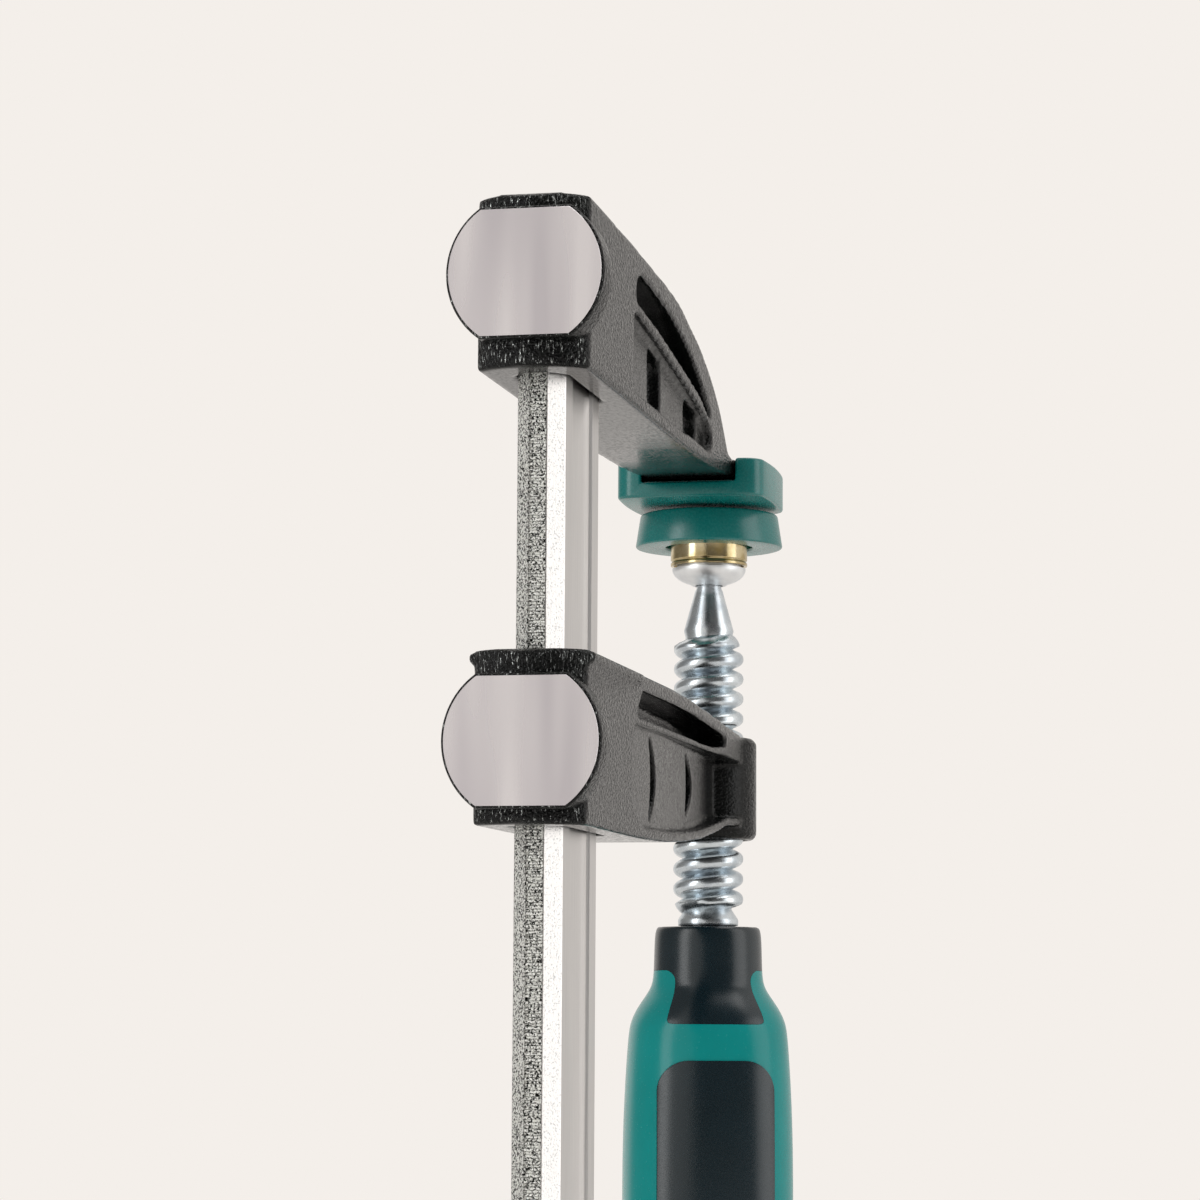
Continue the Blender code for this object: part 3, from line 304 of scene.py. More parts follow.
def rounded(thing: Thing, width: float, segments: int = 3,
            degrees: float = 30.0) -> Thing:
    """Round every edge sharper than an angle and apply it.

    Args:
        thing: The object.
        width: Width of the rounding.
        segments: Facets across it.
        degrees: Smallest angle between faces that is rounded.

    Returns:
        The changed object.
    """
    modify(thing, "BEVEL", width=width, segments=segments, limit_method="ANGLE",
           angle_limit=math.radians(degrees))
    return apply_all(thing)


def round_in_plane(thing: Thing, axis: int, level: float, width: float,
                   clamp: bool = False) -> None:
    """Round the edges that lie in one plane across an axis.

    Args:
        thing: The object.
        axis: 0, 1 or 2 for X, Y or Z.
        level: Where the plane is on that axis.
        width: Width of the rounding.
        clamp: Whether the rounding gives way where its neighbours would meet.
    """
    with editing(thing):
        select_where(thing, Pick.EDGES, lambda co, _along: abs(co[axis] - level) < SAME_PLANE)
        bpy.ops.mesh.bevel(offset=width, segments=3, affect="EDGES", profile=0.5, clamp_overlap=clamp)


def smooth(thing: Thing, degrees: float = 35.0) -> Thing:
    """Shade smooth, with edges sharper than the angle kept crisp."""
    make_active(thing)
    bpy.ops.object.shade_smooth_by_angle(angle=math.radians(degrees))
    return thing


def arc(middle: tuple[float, float], radius: float, start: float, end: float, count: int) -> FlatPoints:
    """Return points on a circle between two angles in radians, both ends included."""
    return [
        (middle[0] + radius * math.cos(start + (end - start) * i / (count - 1)),
         middle[1] + radius * math.sin(start + (end - start) * i / (count - 1)))
        for i in range(count)
    ]


def rounded_box_outline(half_x: float, half_y: float, radius: float, count: int = 7) -> FlatPoints:
    """Return the outline of a rectangle with round corners."""
    points: FlatPoints = []
    quarter = math.pi / 2
    for index, (sx, sy) in enumerate(((1, 1), (-1, 1), (-1, -1), (1, -1))):
        middle = (sx * (half_x - radius), sy * (half_y - radius))
        points += arc(middle, radius, index * quarter, index * quarter + quarter, count)
    return points


def crowned_outline(half_x: float, half_y: float, radius: float, crown: float) -> FlatPoints:
    """Return a rectangle with round corners whose four sides swell a little in the middle."""
    points: FlatPoints = []
    corners = rounded_box_outline(half_x, half_y, radius)
    for (x0, y0), (x1, y1) in zip(corners, corners[1:] + corners[:1]):
        steps = 8 if math.hypot(x1 - x0, y1 - y0) > radius else 1
        points += [(x0 + (x1 - x0) * k / steps, y0 + (y1 - y0) * k / steps) for k in range(steps)]
    return [(x - math.copysign(crown, x) * (y / half_y) ** 2, y - math.copysign(crown, y) * (x / half_x) ** 2)
            for x, y in points]


def curve_through(points: Outline, steps: int = 5) -> FlatPoints:
    """Return a smooth open curve that passes through every point."""
    ends = [points[0], *points, points[-1]]
    result: FlatPoints = []
    for four in zip(ends, ends[1:], ends[2:], ends[3:]):
        for k in range(steps):
            t = k / steps
            x, y = (0.5 * (2 * b + (c - a) * t + (2 * a - 5 * b + 4 * c - d) * t ** 2
                           + (3 * b - a - 3 * c + d) * t ** 3) for a, b, c, d in zip(*four))
            result.append((x, y))
    return result + [points[-1]]


def softened_outline(points: Outline, radius: float, count: int = 4) -> FlatPoints:
    """Round the corners of a closed outline with short curves.

    Args:
        points: The outline's corners.
        radius: How far along each side a corner's curve begins.
        count: Points on each curve.

    Returns:
        The rounded outline.
    """
    result: FlatPoints = []
    total = len(points)
    for i in range(total):
        before = Vector(points[i - 1])
        corner = Vector(points[i])
        after = Vector(points[(i + 1) % total])
        first = corner + (before - corner).normalized() * min(radius, (before - corner).length * 0.45)
        last = corner + (after - corner).normalized() * min(radius, (after - corner).length * 0.45)
        for k in range(count):
            t = k / (count - 1)
            at = first * (1 - t) ** 2 + corner * 2 * t * (1 - t) + last * t ** 2
            result.append((at.x, at.y))
    return result


# Finishes


def linear(hex_colour: str) -> Colour:
    """Turn an sRGB hex colour into linear RGBA."""
    values = [int(hex_colour[i:i + 2], 16) / 255 for i in (0, 2, 4)]
    r, g, b = (v / 12.92 if v <= 0.04045 else ((v + 0.055) / 1.055) ** 2.4 for v in values)
    return (r, g, b, 1.0)


def join(material: bpy.types.Material, node: bpy.types.Node, inputs: dict) -> None:
    """Give a node's inputs, by name or number, their values or links."""
    for key, value in inputs.items():
        if isinstance(value, Socket):
            material.node_tree.links.new(value, node.inputs[key])
        else:
            node.inputs[key].default_value = value


def add_node(material: bpy.types.Material, kind: str, settings: dict | None = None,
             inputs: dict | None = None) -> bpy.types.Node:
    """Add a shader node with its settings, values and links.

    Args:
        material: The material or world that gets the node.
        kind: The node's type name.
        settings: Properties to set on the node.
        inputs: Values or output sockets for its inputs, by name or number.

    Returns:
        The node.
    """
    node = material.node_tree.nodes.new(kind)
    for key, value in (settings or {}).items():
        setattr(node, key, value)
    join(material, node, inputs or {})
    return node


class Nodes:
    """The shader nodes of one material or of the world, added and joined by short calls."""

    def __init__(self, holder: "bpy.types.Material | bpy.types.World") -> None:
        """Take the material or the world."""
        self.holder = holder

    def noise(self, place: Socket, scale: float, detail: float, **more: float) -> Socket:
        """Return a noise with cells of one over the scale."""
        inputs = {"Vector": place, "Scale": scale, "Detail": detail, **more}
        return add_node(self.holder, "ShaderNodeTexNoise", inputs=inputs).outputs["Fac"]

    def stretched(self, place: Socket, scale: Point, turn: float = 0.0) -> Socket:
        """Return coordinates that are turned about X and scaled."""
        inputs = {"Vector": place, "Rotation": (turn, 0.0, 0.0), "Scale": scale}
        return add_node(self.holder, "ShaderNodeMapping", inputs=inputs).outputs["Vector"]

    def axes(self, vector: Socket) -> bpy.types.bpy_prop_collection:
        """Return a vector's X, Y and Z."""
        return add_node(self.holder, "ShaderNodeSeparateXYZ", inputs={"Vector": vector}).outputs

    def span(self, value: Socket, low: float, high: float, start: float = 0.0, end: float = 1.0,
             kind: str = "LINEAR") -> Socket:
        """Map a value from one range to another, held at its ends.

        Args:
            value: What is mapped.
            low: The value that gives the start.
            high: The value that gives the end.
            start: The first result.
            end: The last result.
            kind: How the results run in between.

        Returns:
            The result.
        """
        return add_node(self.holder, "ShaderNodeMapRange", {"interpolation_type": kind}, {
            "Value": value, "From Min": low, "From Max": high, "To Min": start, "To Max": end,
        }).outputs["Result"]

    def maths(self, operation: str, *values: "Socket | float") -> Socket:
        """Return the outcome of one operation on values and sockets."""
        settings = {"operation": operation}
        return add_node(self.holder, "ShaderNodeMath", settings, dict(enumerate(values))).outputs["Value"]

    def mix(self, share: Socket, first: "Socket | Colour", second: "Socket | Colour") -> Socket:
        """Return two colours mixed by a share."""
        return add_node(self.holder, "ShaderNodeMix", {"data_type": "RGBA"}, {
            "Factor": share, FIRST_COLOUR: first, SECOND_COLOUR: second}).outputs[MIXED_COLOUR]

    def ramp(self, factor: Socket, *stops: tuple[float, "str | Colour"]) -> Socket:
        """Return a colour ramp with the given stops, as hex or linear colours."""
        node = add_node(self.holder, "ShaderNodeValToRGB", inputs={"Fac": factor})
        elements = node.color_ramp.elements
        while len(elements) < len(stops):
            elements.new(0.5)
        for element, (position, colour) in zip(elements, stops):
            element.position = position
            element.color = linear(colour) if isinstance(colour, str) else colour
        return node.outputs["Color"]


class Surface(Nodes):
    """A Principled material whose shader is fed by name."""

    def __init__(self, name: str) -> None:
        """Start the material, with the Object coordinates at hand."""
        material = bpy.data.materials.new(name)
        material.use_nodes = True
        super().__init__(material)
        self.shader = material.node_tree.nodes["Principled BSDF"]
        self.place = add_node(material, "ShaderNodeTexCoord").outputs["Object"]

    def feed(self, inputs: dict) -> None:
        """Give the shader's inputs their values or links."""
        join(self.holder, self.shader, inputs)

    def relief(self, height: Socket, strength: "Socket | float", distance: float) -> None:
        """Raise the surface by a height."""
        inputs = {"Height": height, "Strength": strength, "Distance": distance}
        self.feed({"Normal": add_node(self.holder, "ShaderNodeBump", inputs=inputs).outputs["Normal"]})


@dataclass(frozen=True)
class HammeredPaint:
    """Stoved grey-black paint on a sand-cast, malleable-iron casting.

    The cast skin shows through as a fine leathery grain, and the paint has pulled into small
    pits, so it glints in points and looks pale only where light grazes it. Round the striking faces the
    glints on the wrinkle crests are painted highlights.
    """

    colour: str = "060707"
    worn: str = "141615"
    # Pale metallic colour of the painted glints on the wrinkle crests
    painted_glint: str = "BCC0BE"
    grain_mm: float = 0.55
    pit_mm: float = 0.45
    crest_mm: float = 0.36
    relief: float = 0.00032

    def make(self) -> bpy.types.Material:
        """Return the material."""
        paint = Surface("hammered_paint_cast_iron")
        # The grain is drawn twice as long along the arms, where it is seen at a grazing angle
        drawn = paint.stretched(paint.place, (0.45, 1.0, 1.0))
        grain = paint.noise(drawn, 1000 / self.grain_mm, 2.5, Roughness=0.6)
        pits = add_node(paint.holder, "ShaderNodeTexVoronoi", {"feature": "SMOOTH_F1"}, {
            "Vector": drawn, "Scale": 1000 / self.pit_mm, "Smoothness": 0.5}).outputs["Distance"]
        painted = paint.ramp(grain, (0.40, self.colour), (0.62, self.worn))
        # The undersides were dressed on the belt before painting, so their grain is faint
        facing = paint.axes(add_node(paint.holder, "ShaderNodeNewGeometry").outputs["Normal"])
        depth = paint.span(facing["Z"], -0.95, -0.6, 0.10, 1.0)
        # Sand cores leave the hollows smoother than the outside, which lies further from the middle plane
        axes = paint.axes(paint.place)
        outer = paint.span(paint.maths("ABSOLUTE", axes["Y"]), 0.0078, 0.0082, 0.45, 1.0)
        head = paint.span(axes["X"], -0.122, -0.120, 1.0, 0.0)
        skin = paint.maths("MAXIMUM", outer, head)
        # Painted highlight: round the striking faces, the crests of the upright wrinkles on faces turned to
        # the rear get a pale metallic colour that stands in for glints
        upright = paint.stretched(paint.place, (1.0, 1.0, 0.26))
        crests = paint.noise(upright, 1000 / self.crest_mm, 3.0, Roughness=0.65, Distortion=0.6)
        glint_crests = paint.span(crests, 0.585, 0.66)
        rear = paint.span(facing["X"], -0.6, -0.85)
        painted_glint = paint.maths("MULTIPLY", paint.maths("MULTIPLY", glint_crests, rear), head)
        paint.feed({"IOR": 1.28, "Roughness": paint.span(grain, 0.35, 0.65, 0.26, 0.09),
                    "Base Color": paint.mix(painted_glint, painted, linear(self.painted_glint)), "Metallic": painted_glint})
        height = paint.maths("MULTIPLY_ADD", pits, 0.5, grain)
        paint.relief(height, paint.maths("MULTIPLY", depth, skin), self.relief)
        return paint.holder


@dataclass(frozen=True)
class GroundSteel:
    """The striking faces: iron ground flat on a belt, bright, with fine parallel scratches."""

    colour: str = "F1EDEF"
    shadow: str = "D8D3D7"
    scratch_mm: float = 0.16
    relief: float = 0.000008

    def make(self) -> bpy.types.Material:
        """Return the material."""
        ground = Surface("ground_iron_face")
        scratches = ground.noise(
            ground.stretched(ground.place, (1.0, 1.0, 0.02), 0.12), 1000 / self.scratch_mm, 3.0)
        # Painted reflection: soft diagonal bands a few millimetres wide, lighter and darker, stand in for the
        # streaks of light that the ground face mirrors
        painted_streaks = ground.noise(ground.stretched(ground.place, (1.0, 1.0, 0.10), 0.30), 150.0, 1.0)
        ground.feed({
            "Metallic": 1.0, "Base Color": ground.ramp(painted_streaks, (0.36, self.shadow), (0.64, self.colour)),
            "Roughness": ground.span(painted_streaks, 0.3, 0.7, 0.34, 0.22)})
        ground.relief(scratches, 0.5, self.relief)
        return ground.holder


@dataclass(frozen=True)
class DrawnSteel:
    """The rail: cold-drawn bright steel with lines along it, greyer on its toothed edges."""

    colour: str = "DAD8D6"
    line: str = "C9C7C6"
    tooth: str = "F2F3EF"
    dark_speck: str = "101110"
    spot: str = "A6A8A8"
    line_mm: float = 0.22
    speck_mm: float = 0.34
    relief: float = 0.000015

    def make(self) -> bpy.types.Material:
        """Return the material."""
        steel = Surface("cold_drawn_bright_steel")
        lines = steel.noise(steel.stretched(steel.place, (1.0, 1.0, 0.012)), 1000 / self.line_mm, 3.0)
        speck = steel.noise(steel.place, 1000 / self.speck_mm, 2.0, Roughness=0.7)
        axes = steel.axes(steel.place)
        away = steel.maths("ABSOLUTE", steel.maths("ADD", axes["X"], -(RAIL_INNER + RAIL_OUTER) / 2))
        # Both narrow edges, and on them the rolled stipple of the teeth and of the chamfer at +Y
        edge = steel.span(away, 0.0122, 0.0125)
        toothed = steel.maths("MULTIPLY", steel.span(axes["Y"], -0.00150, -0.00135), edge)
        bright = steel.ramp(lines, (0.3, self.line), (0.7, self.colour))
        spotted = steel.ramp(speck, (0.33, self.spot), (0.45, self.colour))
        # The teeth and the chamfer at +Y are speckled near-black and near-white
        rough = steel.ramp(speck, (0.44, self.dark_speck), (0.50, self.tooth))
        steel.feed({"Metallic": 1.0, "Roughness": steel.span(toothed, 0.0, 1.0, 0.28, 0.42),
                    "Base Color": steel.mix(toothed, steel.mix(edge, bright, spotted), rough)})
        # The rolls bit deeper into the teeth, and deeper still where Y is above their strip
        nearer = steel.span(axes["Y"], -0.0015, -0.0013, 4.0, 16.0)
        farther = steel.span(axes["Y"], 0.0013, 0.0015, 0.0, 34.0)
        milled = steel.maths("MULTIPLY", edge, steel.maths("ADD", nearer, farther))
        steel.relief(steel.maths("MULTIPLY_ADD", speck, milled, lines), 0.6, self.relief)
        return steel.holder


@dataclass(frozen=True)
class BrightZinc:
    """Zinc-plated steel, with the tint and the polish of the piece that it is on."""

    name: str = "bright_zinc_plated_steel"
    colour: str = "DADDE0"
    shadow: str = "B9BEC6"
    roughness: float = 0.16

    def make(self) -> bpy.types.Material:
        """Return the material."""
        zinc = Surface(self.name)
        stain = zinc.noise(zinc.place, 240.0, 5.0, Roughness=0.6)
        zinc.feed({"Metallic": 1.0, "Base Color": zinc.ramp(stain, (0.32, self.shadow), (0.62, self.colour)),
                   "Roughness": zinc.span(stain, 0.3, 0.7, self.roughness + 0.10, self.roughness)})
        zinc.relief(zinc.noise(zinc.place, 3200.0, 2.0), 0.25, 0.00002)
        return zinc.holder


@dataclass(frozen=True)
class MouldedPlastic:
    """Injection-moulded plastic: an even colour, slightly mottled, with a spark-eroded grain."""

    name: str
    colour: str
    deep: str
    roughness: float
    grain_mm: float
    relief: float
    specular: float = 0.5

    def make(self) -> bpy.types.Material:
        """Return the material."""
        plastic = Surface(self.name)
        cloud = plastic.noise(plastic.place, 60.0, 4.0, Roughness=0.55)
        grain = plastic.noise(plastic.place, 1000 / self.grain_mm, 2.0, Roughness=0.6)
        plastic.feed({
            "IOR": 1.5, "Specular IOR Level": self.specular,
            "Base Color": plastic.ramp(cloud, (0.3, self.deep), (0.68, self.colour)),
            "Roughness": plastic.span(grain, 0.3, 0.7, self.roughness - 0.04, self.roughness + 0.06)})
        plastic.relief(grain, 0.5, self.relief)
        return plastic.holder


class Finishes:
    """Every finish of the clamp, made once."""

    def __init__(self) -> None:
        """Make the materials."""
        self.paint = HammeredPaint().make()
        self.ground = GroundSteel().make()
        self.steel = DrawnSteel().make()
        self.zinc = BrightZinc().make()
        # Yellow chromate over zinc: a warm brassy sheen on the turned collar
        self.passivated = BrightZinc("yellow_passivated_zinc", "D6C8A4", "A8935F", 0.13).make()
        # Rolling leaves the thread a touch duller than turned faces, with a blue-white cast
        self.rolled = BrightZinc("blue_zinc_on_rolled_thread", "DDE4E8", "BFC8CF", 0.22).make()
        # The pressed cup was tumbled before plating: satin and almost white
        self.tumbled = BrightZinc("zinc_on_tumbled_steel", "F0F2F3", "DEE1E4", 0.34).make()
        # Soft thermoplastic caps: matt enough not to slip on the work
        self.cap = MouldedPlastic("teal_soft_cap_plastic", "007672", "006864", 0.26, 0.5, 0.00001, 0.7).make()
        # Hard polypropylene of the grip: a smooth, glossy moulded skin
        self.hard = MouldedPlastic(
            "teal_hard_polypropylene", "008C89", "008380", 0.22, 0.6, 0.000005, 0.32).make()
        # Elastomer of the grip's soft shot: matt, with a dry spark-eroded skin
        self.soft = MouldedPlastic(
            "dark_grey_elastomer", "0A2028", "081A20", 0.25, 0.35, 0.000012, 0.6).make()


def place_piece(thing: Thing, body: Body, material: bpy.types.Material, slot: str,
                replaced: Sequence[str] = ()) -> Thing:
    """Give a finished piece its material and body, and hide the CAD nodes that it stands for.

    Args:
        thing: The piece.
        body: The CAD body that it rides on.
        material: Its finish.
        slot: The record's material slot; not used.
        replaced: CAD nodes that it stands for.

    Returns:
        The piece.
    """
    thing.data.materials.clear()
    thing.data.materials.append(material)
    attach(thing, body.value)
    if replaced:
        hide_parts(*replaced)
    LOG.info("%s rides on %s with %d faces", thing.name, body.value, len(thing.data.polygons))
    return thing


# Sub-assemblies


@dataclass
class Rail:
    """The toothed bar that the arm slides on."""

    depth: float = 0.030
    thickness: float = 0.008
    chamfer_x: float = 0.0027
    chamfer_y: float = 0.0024
    groove_width: float = 0.0150
    groove_floor: float = 0.0142
    groove_depth: float = 0.0007
    top: float = 0.0286
    bottom: float = -0.3519
    tooth_pitch: float = 0.0010
    tooth_depth: float = 0.00028
    land: float = 0.0002

    def bar(self) -> Thing:
        """Model the drawn bar: chamfers, rounded side grooves and a sunk strip for the teeth."""
        half_x = self.depth / 2
        half_y = self.thickness / 2
        sunk = half_x - self.tooth_depth
        strip = half_y - self.chamfer_y - self.land
        groove = self.groove_width / 2
        floor = self.groove_floor / 2
        low = half_y - self.groove_depth
        wall = [(floor - 0.0022, low), (floor - 0.0007, low + 0.00006), (floor, low + 0.00022),
                (groove, half_y)]
        side = [
            (half_x - self.chamfer_x, -half_y), (half_x, -half_y + self.chamfer_y), (half_x, -strip),
            (sunk, -strip), (sunk, strip), (half_x, strip), (half_x, half_y - self.chamfer_y),
            (half_x - self.chamfer_x, half_y), *reversed(wall), *((-x, y) for x, y in wall),
        ]
        middle = (RAIL_INNER + RAIL_OUTER) / 2
        outline = [(x + middle, y) for x, y in side] + [(-x + middle, -y) for x, y in side]
        return prism("rail_toothed_bar", outline, self.bottom, self.top, axis="Z")

    def teeth(self, edge: float, inward: int) -> Thing:
        """Model one tooth and repeat it up a narrow edge."""
        strip = self.thickness / 2 - self.chamfer_y - self.land + 0.00003
        count = round((self.top - self.bottom) / self.tooth_pitch)
        pitch = (self.top - self.bottom) / count
        root = edge + inward * (self.tooth_depth + 0.00008)
        tooth = prism("tooth", [(root, self.bottom + pitch * 0.06), (edge, self.bottom + pitch * 0.30),
                                (edge, self.bottom + pitch * 0.66), (root, self.bottom + pitch * 0.92)],
                      -strip, strip)
        modify(tooth, "ARRAY", count=count, use_relative_offset=False, use_constant_offset=True,
               constant_offset_displace=(0.0, 0.0, pitch))
        return apply_all(tooth)

    def build(self) -> Thing:
        """Model the bar and set both rows of teeth in it."""
        bar = self.bar()
        rows = (self.teeth(RAIL_OUTER, 1), self.teeth(RAIL_INNER, -1))
        make_active(bar)
        for row in rows:
            row.select_set(True)
        bpy.ops.object.join()
        return smooth(bar, 20.0)

    def dress(self, finishes: Finishes) -> None:
        """Build the rail and give the stop pin its finish."""
        place_piece(self.build(), Body.FRAME, finishes.steel, "rail_steel", ("rail",))
        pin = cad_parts["rail_end_pin"]
        pin.data.materials.clear()
        pin.data.materials.append(finishes.zinc)


@dataclass
class StrikingButton:
    """The flat-sided round button at a casting's rear end, with its ground face."""

    name: str
    middle: float
    radius: float = 0.0130
    height: float = 0.0214
    face: float = -0.1603
    root: float = -0.1540
    rim: float = 0.0005
    stand: float = 0.00012
    face_thickness: float = 0.0006
    facets: int = 40

    def outline(self, inset: float) -> FlatPoints:
        """Return the button's outline as (y, z), taken in by an inset."""
        radius = self.radius - inset
        corner = math.asin((self.height / 2 - inset) / radius)
        right = arc((0.0, 0.0), radius, -corner, corner, self.facets)
        left = arc((0.0, 0.0), radius, math.pi - corner, math.pi + corner, self.facets)
        return [(y, z + self.middle) for y, z in right + left]

    def painted(self) -> Thing:
        """Return the painted button, with its front edge broken."""
        front = self.face + self.stand
        thing = prism(f"{self.name}_button", self.outline(0.0), front, self.root, axis="X")
        round_in_plane(thing, 0, front, self.rim)
        return smooth(thing)

    def ground(self) -> Thing:
        """Return the bright ground face, a thin flat disc with a crisp edge."""
        outline = self.outline(self.rim * 0.9)
        back = self.face + self.face_thickness
        thing = prism(f"{self.name}_ground_face", outline, self.face, back, axis="X")
        return smooth(rounded(thing, 0.00005, 1, 50.0))


def pocket(outline: Outline, depth: float, fillet: float, soften: float) -> Thing:
    """Return the pair of cutters for a cast pocket with a rounded floor.

    Args:
        outline: The pocket's mouth as (x, z).
        depth: How deep it goes into the casting's side.
        fillet: Radius where the floor meets the walls.
        soften: Radius of the outline's corners.

    Returns:
        The cutters for both sides, as one object.
    """
    floor = -BODY_HALF_WIDTH + depth
    cutter = prism("pocket", softened_outline(outline, soften), -BODY_HALF_WIDTH - OVERRUN, floor)
    round_in_plane(cutter, 1, floor, fillet, clamp=True)
    return mirrored(cutter)


def hollow(outline: Outline, floor: Outline, soften: float) -> Thing:
    """Return the pair of cutters for a cast hollow whose floor follows a curve in plan.

    Args:
        outline: The hollow's mouth as (x, z).
        floor: The floor as (x, half width left in the casting).
        soften: Radius of the outline's corners.

    Returns:
        The cutters for both sides, as one object.
    """
    cutter = prism("hollow", softened_outline(outline, soften), -BODY_HALF_WIDTH - OVERRUN, 0.0)
    reach = -BODY_HALF_WIDTH - 1.5 * OVERRUN
    plan = [(x, -half) for x, half in curve_through(floor, 3)]
    plan += [(floor[-1][0], reach), (floor[0][0], reach)]
    combine(cutter, prism("hollow plan", plan, *PLAN_SPAN, axis="Z"), "INTERSECT")
    return mirrored(cutter)


@dataclass
class Casting:
    """What both castings share: places on their sides, cast skin, striking button and finish.

    The datum is the jaw's underside or the arm's top, and heights run from it upward or downward.
    """

    name: str = ""
    body: Body = Body.FRAME
    button_middle: float = 0.0
    datum: float = 0.0
    height: float = 0.0
    upward: int = 1
    pocket_start: float = 0.0
    pocket_length: float = 0.0
    edge: float = 0.0010
    half_blank: float = 0.012
    plan_span: tuple = (0.0, 0.0)
    grain: float = 0.0005
    passes: int = 4

    def at(self, shares: Outline) -> FlatPoints:
        """Return points on the side from shares of the pockets' length and of the casting's height."""
        return [(RAIL_INNER + self.pocket_start + self.pocket_length * u,
                 self.datum + self.upward * self.height * v) for u, v in shares]

    def blank(self, side: Outline, widths: Outline) -> Thing:
        """Model the casting's bare beam from its side and its plan.

        Args:
            side: The outline as (x, z).
            widths: (x, half width) from the rear end to the tip.

        Returns:
            The beam, with its edges rounded.
        """
        beam = prism(f"{self.name}_casting", side, -self.half_blank, self.half_blank)
        plan = [*widths, *((x, -w) for x, w in reversed(widths))]
        combine(beam, prism("plan", plan, *self.plan_span, axis="Z"), "INTERSECT")
        return rounded(beam, self.edge, 3, 50.0)

    def cast_skin(self, rough: Thing) -> Thing:
        """Turn a sharp shape into one even skin with every edge run soft, as a sand mould leaves it."""
        modify(rough, "REMESH", mode="VOXEL", voxel_size=self.grain, use_smooth_shade=True)
        modify(rough, "SMOOTH", factor=0.5, iterations=self.passes)
        return apply_all(rough)

    def dress(self, finishes: Finishes) -> None:
        """Build the casting, its button and the ground face."""
        button = StrikingButton(self.name, self.button_middle)
        place_piece(self.build(), self.body, finishes.paint, "painted_iron", (self.name,))
        place_piece(button.painted(), self.body, finishes.paint, "painted_iron")
        place_piece(button.ground(), self.body, finishes.ground, "rail_steel")


@dataclass
class FixedJaw(Casting):
    """The upper casting: a beam with pocketed sides and a pad under its nose."""

    name: str = "fixed_jaw"
    button_middle: float = 0.01645
    datum: float = 0.0017
    height: float = 0.0277
    pocket_start: float = 0.0015
    pocket_length: float = 0.0750
    edge: float = 0.0011
    plan_span: tuple = (-0.01, 0.05)
    mortise_span: tuple = (-0.01, 0.04)
    back: float = 0.0303
    crown: float = 0.0011
    tip_back: float = 0.0072
    tip_underside: float = 0.0053
    tip_half_width: float = 0.0088
    nose: float = -0.0100
    pad: tuple = (0.0031, 0.0071)
    pad_corner: float = 0.0012
    pocket_depth: float = 0.0060
    panel_depth: float = 0.0020
    slot_depth: float = 0.0046
    # Each kind of recess's fillet at the floor, and the radius of its corners
    pocket_radii: tuple = (0.0012, 0.0016)
    panel_radii: tuple = (0.0008, 0.0016)
    slot_radii: tuple = (0.0013, 0.0022)
    back_shares: tuple = (
        (0.0, 0.955), (0.14, 0.935), (0.28, 0.915), (0.39, 0.880), (0.475, 0.815), (0.565, 0.745),
        (0.660, 0.640), (0.755, 0.475), (0.815, 0.310), (0.845, 0.225), (0.89, 0.20), (1.0, 0.20),
    )
    upper_pocket: tuple = (
        (0.020, 0.665), (0.030, 0.790), (0.085, 0.855), (0.28, 0.825), (0.43, 0.790), (0.58, 0.725),
        (0.71, 0.645), (0.84, 0.530), (0.945, 0.400), (0.985, 0.320), (0.90, 0.385), (0.80, 0.440),
        (0.62, 0.505), (0.30, 0.605),
    )
    lower_pocket: tuple = (
        (0.0, 0.095), (0.0, 0.560), (0.04, 0.595), (0.30, 0.530), (0.60, 0.435), (0.78, 0.372),
        (0.92, 0.305), (0.985, 0.225), (0.96, 0.120), (0.60, 0.098),
    )
    slots: tuple = (
        ((0.275, 0.125), (0.275, 0.505), (0.420, 0.462), (0.420, 0.125)),
        ((0.715, 0.132), (0.715, 0.372), (0.870, 0.315), (0.870, 0.137)),
    )
    mortise: tuple = ((-0.1503, 0.0017), (-0.1475, 0.0042), (-0.1225, 0.0042), (-0.1197, 0.0017))

    def side(self) -> FlatPoints:
        """Return the casting's side outline."""
        reach = self.nose - RAIL_INNER
        under = [(REAR_END, self.datum + 0.0004), (REAR_CORNER, self.datum), (RAIL_INNER, self.datum)]
        for u in (0.25, 0.45, 0.6, 0.7, 0.8, 0.88, 0.95, 1.0):
            under.append((RAIL_INNER + reach * u, self.datum + (self.tip_underside - self.datum) * u ** 4))
        top = [(RAIL_INNER + reach * u, max(self.datum + self.height * v, self.tip_back) + self.crown * v)
               for u, v in curve_through(list(reversed(self.back_shares)), 4)]
        return under + top + [(REAR_CORNER, self.back - 0.0003), (REAR_END, self.back - 0.0009)]

    def build(self) -> Thing:
        """Model the casting."""
        widths = REAR_PLAN + ((RAIL_INNER, BODY_HALF_WIDTH), (self.nose, self.tip_half_width))
        jaw = self.blank(self.side(), widths)
        half_x = CAP_LENGTH / 2 - CAP_WALL - SEAT_GAP
        half_y = CAP_WIDTH / 2 - CAP_WALL - SEAT_GAP
        pad = [(x - CAP_OFFSET, y) for x, y in rounded_box_outline(half_x, half_y, self.pad_corner)]
        combine(jaw, prism("pad", pad, *self.pad, axis="Z"), "UNION")
        recesses = [(self.upper_pocket, self.pocket_depth, *self.pocket_radii),
                    (self.lower_pocket, self.panel_depth, *self.panel_radii)]
        recesses += [(slot, self.slot_depth, *self.slot_radii) for slot in self.slots]
        for shares, *sizes in recesses:
            combine(jaw, pocket(self.at(shares), *sizes), "DIFFERENCE")
        mortise = [*self.mortise, *((x, -y) for x, y in reversed(self.mortise))]
        combine(jaw, prism("mortise", mortise, *self.mortise_span, axis="Z"), "DIFFERENCE")
        return self.cast_skin(jaw)


